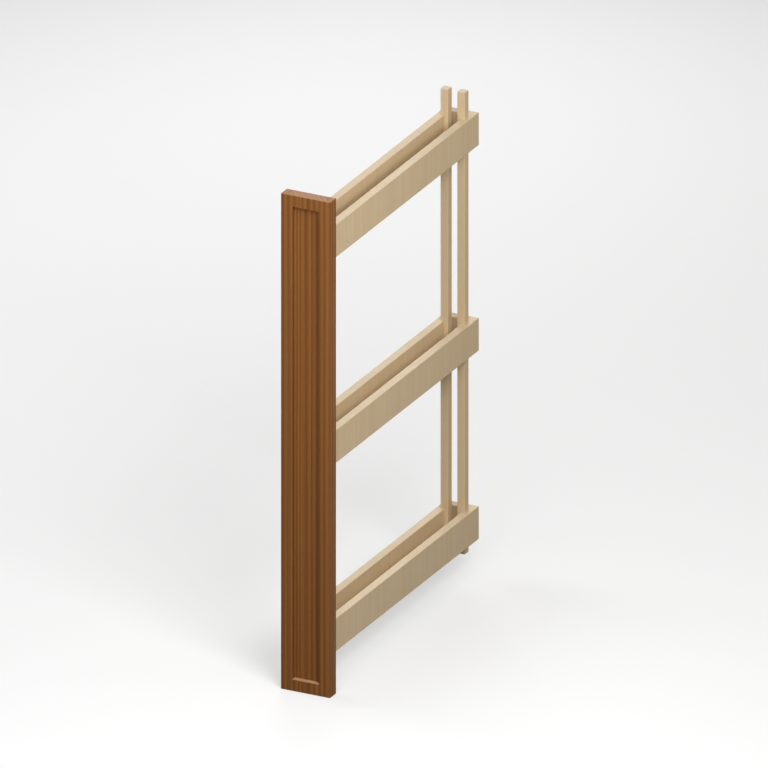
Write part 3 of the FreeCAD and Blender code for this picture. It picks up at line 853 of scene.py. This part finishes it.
class NodeForm(NodeGroup):
    """A geometry node tree that ends in realized, dressed geometry."""

    kind = "GeometryNodeTree"
    sizes: tuple[tuple[str, str], ...] = ()
    outputs = (("Geometry", "Geometry"),)

    @property
    def inputs(self) -> tuple[tuple[str, str], ...]:
        """The points to start from, the form's own sizes and the finish."""
        return (("Geometry", "Geometry"), *self.sizes, ("Finish", "Material"))

    def wire(self, wiring: Wiring, given: object) -> dict[str, NodeSocket]:
        """Make the tree's nodes.

        Args:
            wiring: Adds the nodes.
            given: The tree's inputs, by name.

        Returns:
            The socket that feeds each output.
        """
        real = wiring.add("GeometryNodeRealizeInstances", {0: self.lay_out(wiring, given)})
        feeds = {"Geometry": real.outputs[0], "Material": given["Finish"]}
        return {"Geometry": wiring.add("GeometryNodeSetMaterial", feeds).outputs[0]}

    def lay_out(self, wiring: Wiring, given: object) -> NodeSocket:
        """Lay out the copies.

        Args:
            wiring: Adds the nodes.
            given: The tree's inputs, by name.

        Returns:
            The instances.
        """
        raise NotImplementedError

    def copies(
        self, wiring: Wiring, points: NodeSocket, item: NodeSocket, **feeds: NodeSocket
    ) -> NodeSocket:
        """One copy of an item at each point."""
        feeds.update(Points=points, Instance=item)
        return wiring.add("GeometryNodeInstanceOnPoints", feeds).outputs[0]

    def rows(
        self, wiring: Wiring, given: object, offset: NodeSocket, item: NodeSocket
    ) -> NodeSocket:
        """A row of an item from each point.

        Args:
            wiring: Adds the nodes.
            given: The tree's inputs, by name.
            offset: The step from one item to the next.
            item: The item.

        Returns:
            The instances.
        """
        feeds = {"Count": given["Count"], "Offset": offset}
        line = wiring.add("GeometryNodeMeshLine", feeds, mode="OFFSET").outputs["Mesh"]
        return self.copies(wiring, given["Geometry"], self.copies(wiring, line, item))

    def make(self, name: str, points: Sequence[Vector], finish: Finish, **values: object) -> Object:
        """Run the form and keep its result as a plain mesh.

        Args:
            name: The new piece's name.
            points: The points that the form starts from.
            finish: The finish of the result.
            **values: The form's own sizes.

        Returns:
            The new piece.
        """
        seed = bpy.data.meshes.new(f"{name}_points")
        seed.from_pydata([tuple(point) for point in points], [], [])
        carrier = linked(f"{name}_carrier", seed)
        modifier = carrier.modifiers.new("form", "NODES")
        modifier.node_group = self.tree()
        values["Finish"] = finish.material()
        for item in modifier.node_group.interface.items_tree:
            if item.in_out == "INPUT" and item.name in values:
                modifier[item.identifier] = values[item.name]
        bpy.context.view_layer.update()
        graph = bpy.context.evaluated_depsgraph_get()
        mesh = bpy.data.meshes.new_from_object(carrier.evaluated_get(graph), depsgraph=graph)
        carrier.modifiers.remove(modifier)
        bpy.data.objects.remove(carrier)
        mesh.name = name
        return linked(name, mesh)


class BallRowForm(NodeForm):
    """Rows of balls: one row of a count and pitch runs inward from each starting point."""

    title = "ball rows"
    sizes = (("Count", "Int"), ("Pitch", "Float"), ("Radius", "Float"))
    fineness = 3

    def lay_out(self, wiring: Wiring, given: object) -> NodeSocket:
        """Lay out the balls.

        Args:
            wiring: Adds the nodes.
            given: The tree's inputs, by name.

        Returns:
            The instances.
        """
        step = wiring.add("ShaderNodeCombineXYZ", {"Y": given["Pitch"]}).outputs[0]
        feeds = {"Radius": given["Radius"], "Subdivisions": self.fineness}
        ball = wiring.add("GeometryNodeMeshIcoSphere", feeds).outputs["Mesh"]
        smooth = wiring.add("GeometryNodeSetShadeSmooth", {0: ball}).outputs[0]
        return self.rows(wiring, given, step, smooth)


class CopyForm(NodeForm):
    """One copy of a pattern piece at each point, all turned alike."""

    title = "pattern copies"
    sizes = (("Pattern", "Object"), ("Turn", "Vector"))

    def lay_out(self, wiring: Wiring, given: object) -> NodeSocket:
        """Lay out the copies.

        Args:
            wiring: Adds the nodes.
            given: The tree's inputs, by name.

        Returns:
            The instances.
        """
        feeds = {"Object": given["Pattern"]}
        pattern = wiring.add("GeometryNodeObjectInfo", feeds, transform_space="ORIGINAL")
        item = pattern.outputs["Geometry"]
        turn = wiring.add("FunctionNodeEulerToRotation", {0: given["Turn"]}).outputs[0]
        return self.copies(wiring, given["Geometry"], item, Rotation=turn)


class RibForm(NodeForm):
    """A row of half-round grip ribs from each point, falling with the lever's slope."""

    title = "grip ribs"
    sizes = (("Count", "Int"), ("Step", "Vector"), ("Radius", "Float"), ("Width", "Float"))
    faces = 12

    def lay_out(self, wiring: Wiring, given: object) -> NodeSocket:
        """Lay out the ribs.

        Args:
            wiring: Adds the nodes.
            given: The tree's inputs, by name.

        Returns:
            The instances.
        """
        feeds = {"Vertices": self.faces, "Radius": given["Radius"], "Depth": given["Width"]}
        rib = wiring.add("GeometryNodeMeshCylinder", feeds, fill_type="NGON").outputs["Mesh"]
        return self.rows(wiring, given, given["Step"], rib)


@dataclass
class Workshop:
    """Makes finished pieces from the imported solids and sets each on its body."""

    nodes: dict[str, Object]
    bodies: dict[str, Sequence[str]]
    boxes: dict[str, tuple[Vector, Vector]] = field(default_factory=dict)
    merge: float = 0.002 * MM
    flat: float = math.radians(0.5)
    box_margin: float = 1 * MM
    seam_reach: float = 0.25 * MM
    seam_tests: tuple[float, ...] = (0.1, 0.5, 0.9)
    seam_touches: int = 2
    outer_bend: float = math.radians(50)
    ease_steps: int = 3
    shortest_edge: float = 3 * MM
    shortest_small_edge: float = 0.1 * MM
    sharp: float = math.radians(28)
    end_slope: float = 0.8
    log_size: tuple[float, ...] = (0.1, 0.1, 3.0)
    draws: random.Random = field(default_factory=lambda: random.Random(7))

    def __post_init__(self) -> None:
        """Measure every node once."""
        self.boxes = {node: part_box(node) for node in self.nodes}

    def body_of(self, node: str) -> str:
        """The body that a node rides on."""
        return next(body for body, members in self.bodies.items() if node in members)

    def solid(self, node: str) -> BMesh:
        """A clean copy of a node's mesh, with flat faces joined.

        Args:
            node: The node's name.

        Returns:
            The copy, which the caller frees.
        """
        source = self.nodes[node].data
        copy = bmesh.new()
        corners = [copy.verts.new(vertex.co) for vertex in source.vertices]
        for polygon in source.polygons:
            try:
                copy.faces.new([corners[index] for index in polygon.vertices])
            except ValueError:
                continue
        bmesh.ops.remove_doubles(copy, verts=copy.verts[:], dist=self.merge)
        edges = copy.edges[:]
        bmesh.ops.dissolve_limit(copy, angle_limit=self.flat, verts=copy.verts[:], edges=edges)
        return copy

    def apart(self, node: str, other: str) -> bool:
        """Whether two nodes' boxes are further apart than the margin.

        Args:
            node: One node's name.
            other: The other's.

        Returns:
            True if they are.
        """
        low, high = self.boxes[node]
        other_low, other_high = self.boxes[other]
        gaps = [
            max(other_low[axis] - high[axis], low[axis] - other_high[axis]) for axis in range(3)
        ]
        return max(gaps) > self.box_margin

    def neighbours(self, node: str) -> BVHTree:
        """A search tree over the nodes near one.

        Args:
            node: The node that is left out.

        Returns:
            The search tree.
        """
        places: list[Vector] = []
        faces: list[tuple[int, ...]] = []
        for other, piece in self.nodes.items():
            if other == node or self.apart(node, other):
                continue
            start = len(places)
            places.extend(vertex.co.copy() for vertex in piece.data.vertices)
            for polygon in piece.data.polygons:
                faces.append(tuple(start + index for index in polygon.vertices))
        return BVHTree.FromPolygons(places, faces)

    def is_free(self, edge: BMEdge, others: BVHTree, shortest: float) -> bool:
        """Whether an edge is an outer one that meets no other piece.

        Args:
            edge: The edge.
            others: A search tree over the other pieces.
            shortest: The least length of an edge that is eased.

        Returns:
            True if it is to be eased.
        """
        if len(edge.link_faces) != 2 or edge.calc_length() < shortest:
            return False
        if edge.calc_face_angle_signed() < self.outer_bend:
            return False
        start, end = (vertex.co for vertex in edge.verts)
        touches = 0
        for share in self.seam_tests:
            found = others.find_nearest(start.lerp(end, share), self.seam_reach)
            touches += found[0] is not None
        return touches < self.seam_touches

    def ease_edges(self, copy: BMesh, node: str, ease: float, shortest: float) -> None:
        """Round over the free outer edges of a mesh.

        Args:
            copy: The mesh.
            node: The node that it was copied from.
            ease: The rounding's width.
            shortest: The least length of an edge that is eased.
        """
        layer = copy.faces.layers.float.new(EDGE)
        others = self.neighbours(node)
        edges = [edge for edge in copy.edges if self.is_free(edge, others, shortest)]
        if not edges:
            return
        made = bmesh.ops.bevel(
            copy,
            geom=edges,
            offset=ease,
            segments=self.ease_steps,
            profile=0.5,
            affect="EDGES",
            clamp_overlap=True,
        )
        for face in made["faces"]:
            face[layer] = 1.0

    def finished(self, copy: BMesh, name: str, smooth: bool) -> Object:
        """The object of an edited mesh, without its slivers."""
        bmesh.ops.dissolve_degenerate(copy, dist=self.merge, edges=copy.edges[:])
        return shaded(copy, name, self.sharp, smooth)

    def eased(
        self,
        node: str,
        name: str,
        ease: float,
        cuts: Sequence[tuple[int, float]] = (),
        smooth: bool = False,
    ) -> Object:
        """A copy of a node whose free outer edges are rounded over.

        Args:
            node: The node that is copied.
            name: The new piece's name.
            ease: The rounding's width.
            cuts: Planes (axis, place) where edges are split, so that seams stay closed.
            smooth: Shade round stretches smoothly.

        Returns:
            The new piece, set on the node's body in its place.
        """
        copy = self.solid(node)
        for axis, where in cuts:
            normal = Vector((0, 0, 0))
            normal[axis] = 1
            everything = copy.verts[:] + copy.edges[:] + copy.faces[:]
            bmesh.ops.bisect_plane(
                copy, geom=everything, dist=self.merge, plane_co=normal * where, plane_no=normal
            )
        self.ease_edges(copy, node, ease, self.shortest_edge)
        return self.settle(self.finished(copy, name, smooth), node)

    def members(self, copy: BMesh) -> list[list[BMVert]]:
        """The corners of each separate piece in a mesh.

        Args:
            copy: The mesh.

        Returns:
            One list of corners for each piece.
        """
        left = set(copy.verts)
        groups = []
        for start in copy.verts:
            if start not in left:
                continue
            left.discard(start)
            group = [start]
            for corner in group:
                near = {edge.other_vert(corner) for edge in corner.link_edges} & left
                left -= near
                group.extend(near)
            groups.append(group)
        return groups

    def alike(self, node: str, name: str, ease: float, finish: Finish) -> Object:
        """A group of small pieces that are all alike: one is eased, and the form copies it.

        Args:
            node: The node that holds the group.
            name: The new piece's name.
            ease: The rounding's width.
            finish: The group's finish.

        Returns:
            The new piece, set on the node's body in its place.
        """
        copy = self.solid(node)
        groups = self.members(copy)
        spots = []
        for group in groups:
            reach = [sorted(corner.co[axis] for corner in group) for axis in range(3)]
            spots.append(Vector([(places[0] + places[-1]) / 2 for places in reach]))
        rest = [corner for group in groups[1:] for corner in group]
        bmesh.ops.delete(copy, geom=rest, context="VERTS")
        self.ease_edges(copy, node, ease, self.shortest_small_edge)
        bmesh.ops.translate(copy, vec=-spots[0], verts=copy.verts[:])
        pattern = self.finished(copy, f"{name}_pattern", smooth=True)
        piece = CopyForm().make(name, spots, finish, Pattern=pattern)
        bpy.data.objects.remove(pattern)
        return self.settle(piece, node)

    def settle(self, piece: Object, *replaced: str) -> Object:
        """Set a piece on the body of the nodes that it stands for.

        Args:
            piece: The new piece.
            *replaced: The nodes.

        Returns:
            The piece.
        """
        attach(piece, self.body_of(replaced[0]))
        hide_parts(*replaced)
        return piece

    def dress(self, piece: Object, finish: PieceFinish) -> None:
        """Give a piece its finish.

        Args:
            piece: The piece.
            finish: The finish.
        """
        piece.data.materials.clear()
        piece.data.materials.append(finish.material())
        log.info("%s: %d faces, %s", piece.name, len(piece.data.polygons), finish.name)

    def set_grain(
        self,
        piece: Object,
        run: Run,
        board: Vector | None = None,
        dusty_and_sheened: bool = False,
        cut_share: float = 1.0,
    ) -> None:
        """Store the board's own coordinates and tone on its mesh.

        Args:
            piece: The wooden piece.
            run: The direction of the fibres.
            board: Where the board was cut from its log. By default each board gets its own.
            dusty_and_sheened: Whether the upward faces get a pale colour, a painted sheen.
            cut_share: How strongly the end colour shows on the faces across the fibres: real end
                grain on the dowels, a paler painted sheen on the front, trays and posts.
        """
        tone = self.draws.uniform(-1, 1)
        cut = Vector([self.draws.uniform(0, reach) for reach in self.log_size])
        if board:
            tone, cut = 0.0, board
        mesh = piece.data
        first, second, along = run.value
        places: list[float] = []
        for vertex in mesh.vertices:
            place = vertex.co
            places.extend(Vector((place[first], place[second], place[along])) + cut)
        ends, ledges = [], []
        for polygon in mesh.polygons:
            # Faces across the fibres get the end colour, which on the front, trays and posts is a
            # painted sheen.
            ends.append(cut_share * (abs(polygon.normal[along]) > self.end_slope))
            # Upward faces of boards that ask for it get the painted sheen.
            ledges.append(float(dusty_and_sheened and polygon.normal.z > self.end_slope))
        stored = (
            (GRAIN, "FLOAT_VECTOR", "POINT", "vector", places),
            (TONE, "FLOAT", "POINT", "value", [tone] * len(mesh.vertices)),
            (END_GRAIN_AND_SHEEN, "FLOAT", "FACE", "value", ends),
            (LEDGE_SHEEN, "FLOAT", "FACE", "value", ledges),
        )
        for name, kind, domain, key, values in stored:
            mesh.attributes.new(name, kind, domain).data.foreach_set(key, values)


@dataclass
class Front:
    """The stained front: stiles, rails, a flat recessed panel and the pads behind it."""

    workshop: Workshop
    ease: float = 0.5 * MM
    board: Vector = field(default_factory=lambda: Vector((0.036, 0.05, 0.4)))
    pad_crown: float = 0.62
    pad_steps: int = 6
    pad_faces: int = 28
    pad_merge: float = 0.001 * MM
    pad_sharp: float = math.radians(40)

    def build(self) -> None:
        """Make and dress the front's boards and pads."""
        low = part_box("door_rail_bottom")[1].z
        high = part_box("door_rail_top")[0].z
        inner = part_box("door_stile_right")[0].x
        level = ((2, low), (2, high))
        upright = ((0, -inner), (0, inner))
        for part, cuts in (
            ("stile_left", level),
            ("stile_right", level),
            ("rail_bottom", upright),
            ("rail_top", upright),
            ("panel", ()),
        ):
            piece = self.workshop.eased(f"door_{part}", f"front_{part}", self.ease, cuts)
            # The bottom rail's ledge gets a painted sheen.
            self.workshop.set_grain(piece, Run.UPRIGHT, self.board, part == "rail_bottom")
            self.workshop.dress(piece, FRONT_WOOD)
        self.add_pads()

    def add_pads(self) -> None:
        """Put the bumper pads on the back of the stiles."""
        low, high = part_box("door_bumpers")
        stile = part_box("door_stile_right")
        radius = high.x - (stile[0].x + stile[1].x) / 2
        pattern = self.pad(radius, high.y - low.y)
        spots = [
            Vector((x, low.y, z))
            for x in (low.x + radius, high.x - radius)
            for z in (low.z + radius, high.z - radius)
        ]
        turn = (-math.pi / 2, 0.0, 0.0)
        pads = CopyForm().make("front_pads", spots, PAD_RUBBER, Pattern=pattern, Turn=turn)
        bpy.data.objects.remove(pattern)
        self.workshop.settle(pads, "door_bumpers")
        self.workshop.dress(pads, PAD_RUBBER)

    def pad(self, radius: float, thick: float) -> Object:
        """A domed pad, turned about the Z axis.

        Args:
            radius: The pad's radius.
            thick: The pad's height.

        Returns:
            The pattern piece.
        """
        crown = self.pad_crown * thick
        profile = [(0.0, 0.0), (radius, 0.0), (radius, thick - crown)]
        for step in range(1, self.pad_steps + 1):
            angle = step / self.pad_steps * math.pi / 2
            profile.append((radius * math.cos(angle), thick - crown + crown * math.sin(angle)))
        copy = bmesh.new()
        points = [copy.verts.new((across, 0.0, height)) for across, height in profile]
        edges = [copy.edges.new(pair) for pair in zip(points, points[1:])]
        bmesh.ops.spin(
            copy,
            geom=points + edges,
            axis=(0, 0, 1),
            cent=(0, 0, 0),
            angle=2 * math.pi,
            steps=self.pad_faces,
            use_merge=True,
        )
        bmesh.ops.remove_doubles(copy, verts=copy.verts[:], dist=self.pad_merge)
        bmesh.ops.recalc_face_normals(copy, faces=copy.faces[:])
        return shaded(copy, "pad_pattern", self.pad_sharp)


@dataclass
class Tray:
    """One tray: two sides, a front and a back board, a floor, dowels and screws."""

    workshop: Workshop
    tier: Tier
    ease: float = 0.6 * MM
    screw_ease: float = 0.25 * MM
    # Share of the paler end colour, a painted sheen, on the tray boards' top edges.
    cut_share: float = 0.25

    def build(self) -> None:
        """Make and dress the tray's boards, dowels and screws."""
        shop, tier = self.workshop, self.tier.value
        ends = ((1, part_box(f"{tier}_front")[1].y), (1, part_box(f"{tier}_back")[0].y))
        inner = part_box(f"{tier}_side_right")[0].x
        walls = ((0, -inner), (0, inner))
        for part, run, cuts in (
            ("side_left", Run.UPRIGHT, ends),
            ("side_right", Run.UPRIGHT, ends),
            ("front", Run.UPRIGHT, walls),
            ("back", Run.UPRIGHT, walls),
            ("floor", Run.INWARD, ()),
        ):
            piece = shop.eased(f"{tier}_{part}", f"{tier}_tray_{part}", self.ease, cuts)
            shop.set_grain(piece, run, cut_share=self.cut_share)
            shop.dress(piece, TRAY_WOOD)
        dowels = shop.alike(f"{tier}_dowels", f"{tier}_tray_dowels", 0, DOWEL_WOOD)
        shop.set_grain(dowels, Run.ACROSS)
        shop.dress(dowels, DOWEL_WOOD)
        node, name = f"{tier}_door_screws", f"{tier}_tray_screws"
        shop.dress(shop.alike(node, name, self.screw_ease, SCREW_ZINC), SCREW_ZINC)


@dataclass
class Posts:
    """The two square posts at the back of the trays."""

    workshop: Workshop
    ease: float = 0.5 * MM

    def build(self) -> None:
        """Make and dress the posts, their edges split where they pass through the trays."""
        cuts = [(2, corner.z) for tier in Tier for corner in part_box(f"{tier.value}_side_right")]
        for side in Side:
            node = f"post_{side.value}"
            piece = self.workshop.eased(node, f"square_{node}", self.ease, cuts)
            # The post tops take the tray wood's paler end colour, a painted sheen.
            self.workshop.set_grain(piece, Run.UPRIGHT)
            self.workshop.dress(piece, TRAY_WOOD)


@dataclass
class Slide:
    """One ball-bearing slide, from its wall rail to its runner."""

    workshop: Workshop
    mount: Mount
    ball_radius: float = 2 * MM
    ball_pitch: float = 14 * MM
    sheet_ease: float = 0.15 * MM
    lever_ease: float = 0.35 * MM
    block_ease: float = 0.8 * MM
    screw_ease: float = 0.2 * MM
    lever_thick: float = 2.5 * MM
    lever_long: float = 50 * MM
    lever_droop: float = 2.8 * MM
    rib_count: int = 6
    rib_step: float = 1.8 * MM
    rib_inset: float = 2 * MM
    rib_radius: float = 0.45 * MM
    rib_width: float = 4.2 * MM

    def node(self, part: str) -> str:
        """The name of one of the slide's nodes."""
        return f"{self.mount.value}_slide_{part}"

    def named(self, words: str) -> str:
        """The name of one of the slide's pieces."""
        return f"{self.mount.value}_{words}"

    def build(self) -> None:
        """Make and dress the slide's pieces."""
        for part, finish in (
            ("wall_rail", RAIL_ZINC),
            ("mid_rail", RAIL_ZINC),
            ("runner", RAIL_ZINC),
            ("outer_cage", CAGE_ZINC),
            ("inner_cage", CAGE_ZINC),
        ):
            self.add_plain(part, f"{part}_sheet", self.sheet_ease, finish)
        for race in Race:
            self.add_balls(race)
        self.add_plain("release_lever", "lever", self.lever_ease, LEVER_PLASTIC)
        self.add_ribs()
        self.add_plain("bumper", "bumper_block", self.block_ease, STOP_RUBBER)
        for part, name in (("lever_rivet", "rivet"), ("screws", "runner_screws")):
            node = self.node(part)
            piece = self.workshop.alike(node, self.named(name), self.screw_ease, SCREW_ZINC)
            self.workshop.dress(piece, SCREW_ZINC)

    def add_plain(self, part: str, name: str, ease: float, finish: PieceFinish) -> None:
        """Make and dress a piece that keeps its solid's form."""
        piece = self.workshop.eased(self.node(part), self.named(name), ease, smooth=True)
        self.workshop.dress(piece, finish)

    def add_balls(self, race: Race) -> None:
        """Lay out both rows of balls of one cage.

        Args:
            race: Which cage.
        """
        node = self.node(f"{race.value}_balls")
        low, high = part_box(node)
        radius = self.ball_radius
        x, y = low.x + radius, low.y + radius
        balls = BallRowForm().make(
            self.named(f"{race.value}_ball_rows"),
            [Vector((x, y, z)) for z in (low.z + radius, high.z - radius)],
            BALL_STEEL,
            Count=1 + round((high.y - low.y - 2 * radius) / self.ball_pitch),
            Pitch=self.ball_pitch,
            Radius=radius,
        )
        self.workshop.settle(balls, node)
        self.workshop.dress(balls, BALL_STEEL)

    def add_ribs(self) -> None:
        """Raise grip ribs on the lever's finger end."""
        low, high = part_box(self.node("release_lever"))
        slope = self.lever_droop / self.lever_long
        middle = (low.z + high.z) / 2 - slope * (self.lever_long - self.rib_inset)
        ribs = RibForm().make(
            self.named("lever_ribs"),
            [Vector((high.x - self.lever_thick, low.y + self.rib_inset, middle))],
            LEVER_PLASTIC,
            Count=self.rib_count,
            Step=(0.0, self.rib_step, self.rib_step * slope),
            Radius=self.rib_radius,
            Width=self.rib_width,
        )
        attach(ribs, f"{self.mount.value}_release_lever")
        self.workshop.dress(ribs, LEVER_PLASTIC)


@dataclass(frozen=True)
class Lamp:
    """A round soft lamp: angles in degrees, sizes in metres and power in watts."""

    name: str
    turn: float
    tilt: float
    distance: float
    size: float
    power: float


@dataclass
class Studio:
    """Floor, soft lamps, pale surroundings and the camera. Angles are in degrees."""

    low: Vector
    high: Vector
    turn: float = 26.565
    tilt: float = 23.17
    frame_width: float = 768 * 1.4142 * MM
    camera_distance: float = 4.0
    floor_half: float = 9.0
    floor_gap: float = 0.2 * MM
    pale: Colour = (0.9, 0.9, 0.895)
    ambient: float = 0.09
    lamps: tuple[Lamp, ...] = (
        Lamp("key lamp", turn=47, tilt=38, distance=3.0, size=1.5, power=65),
        Lamp("front lamp", turn=15, tilt=28, distance=1.4, size=1.0, power=8.3),
        Lamp("right lamp", turn=95, tilt=30, distance=2.6, size=1.2, power=5),
        Lamp("rear lamp", turn=206, tilt=22, distance=2.5, size=1.3, power=19),
        Lamp("top lamp", turn=0, tilt=86, distance=2.2, size=1.8, power=8.8),
        Lamp("left lamp", turn=-92, tilt=20, distance=2.8, size=1.3, power=26),
    )

    def build(self) -> None:
        """Set up the studio around the object's box."""
        self.add_floor()
        for plan in self.lamps:
            lamp = bpy.data.lights.new(plan.name, "AREA")
            lamp.shape = "DISK"
            lamp.size = plan.size
            lamp.energy = plan.power
            self.hang(lamp, plan.turn, plan.tilt, plan.distance)
        self.set_world()
        camera = bpy.data.cameras.new("photo camera")
        camera.type = "ORTHO"
        camera.ortho_scale = self.frame_width
        scene = bpy.context.scene
        scene.camera = self.hang(camera, self.turn, self.tilt, self.camera_distance)
        scene.view_settings.view_transform = "Standard"

    def hang(self, data: object, turn: float, tilt: float, distance: float) -> Object:
        """Hang a lamp or the camera so that it faces the middle of the object.

        Args:
            data: The lamp or camera.
            turn: Angle to the right of the front's normal.
            tilt: Angle above the horizon.
            distance: How far away it hangs.

        Returns:
            Its object.
        """
        turn, tilt = math.radians(turn), math.radians(tilt)
        level = math.cos(tilt)
        away = Vector((math.sin(turn) * level, -math.cos(turn) * level, math.sin(tilt)))
        facing = (-away).to_track_quat("-Z", "Y").to_matrix().to_4x4()
        centre = (self.low + self.high) / 2
        holder = linked(data.name, data)
        holder.matrix_world = Matrix.Translation(centre + away * distance) @ facing
        return holder

    def add_floor(self) -> None:
        """Lay a wide pale floor just under the object."""
        mesh = bpy.data.meshes.new("studio_floor")
        half, height = self.floor_half, self.low.z - self.floor_gap
        corners = [(-half, -half), (half, -half), (half, half), (-half, half)]
        mesh.from_pydata([(x, y, height) for x, y in corners], [], [(0, 1, 2, 3)])
        mesh.materials.append(FLOOR_PAINT.material())
        floor = linked("studio_floor", mesh)
        floor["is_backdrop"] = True

    def set_world(self) -> None:
        """Surround the object with pale light that gloss also sees."""
        world = bpy.data.worlds.new("pale surroundings")
        world.use_nodes = True
        world.node_tree.nodes.clear()
        wiring = Wiring(world.node_tree)
        strength = wiring.ramp(wiring.seen(), 0.0, 1.0, self.ambient, 1.0)
        feeds = {"Color": (*self.pale, 1.0), "Strength": strength}
        background = wiring.add("ShaderNodeBackground", feeds)
        wiring.add("ShaderNodeOutputWorld", {"Surface": background.outputs[0]})
        bpy.context.scene.world = world


def main() -> None:
    """Build every sub-assembly in order."""
    logging.basicConfig(level=logging.INFO, format="%(name)s: %(message)s")
    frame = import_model()
    solid_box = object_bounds()
    workshop = Workshop(frame["nodes"], frame["record"]["behaviour"]["bodies"])
    sections: list[Front | Tray | Posts | Slide] = [Front(workshop)]
    sections += [Tray(workshop, tier) for tier in Tier]
    sections += [Posts(workshop)]
    sections += [Slide(workshop, mount) for mount in Mount]
    for section in sections:
        section.build()
    Studio(*solid_box).build()


if __name__ == "__main__":
    main()
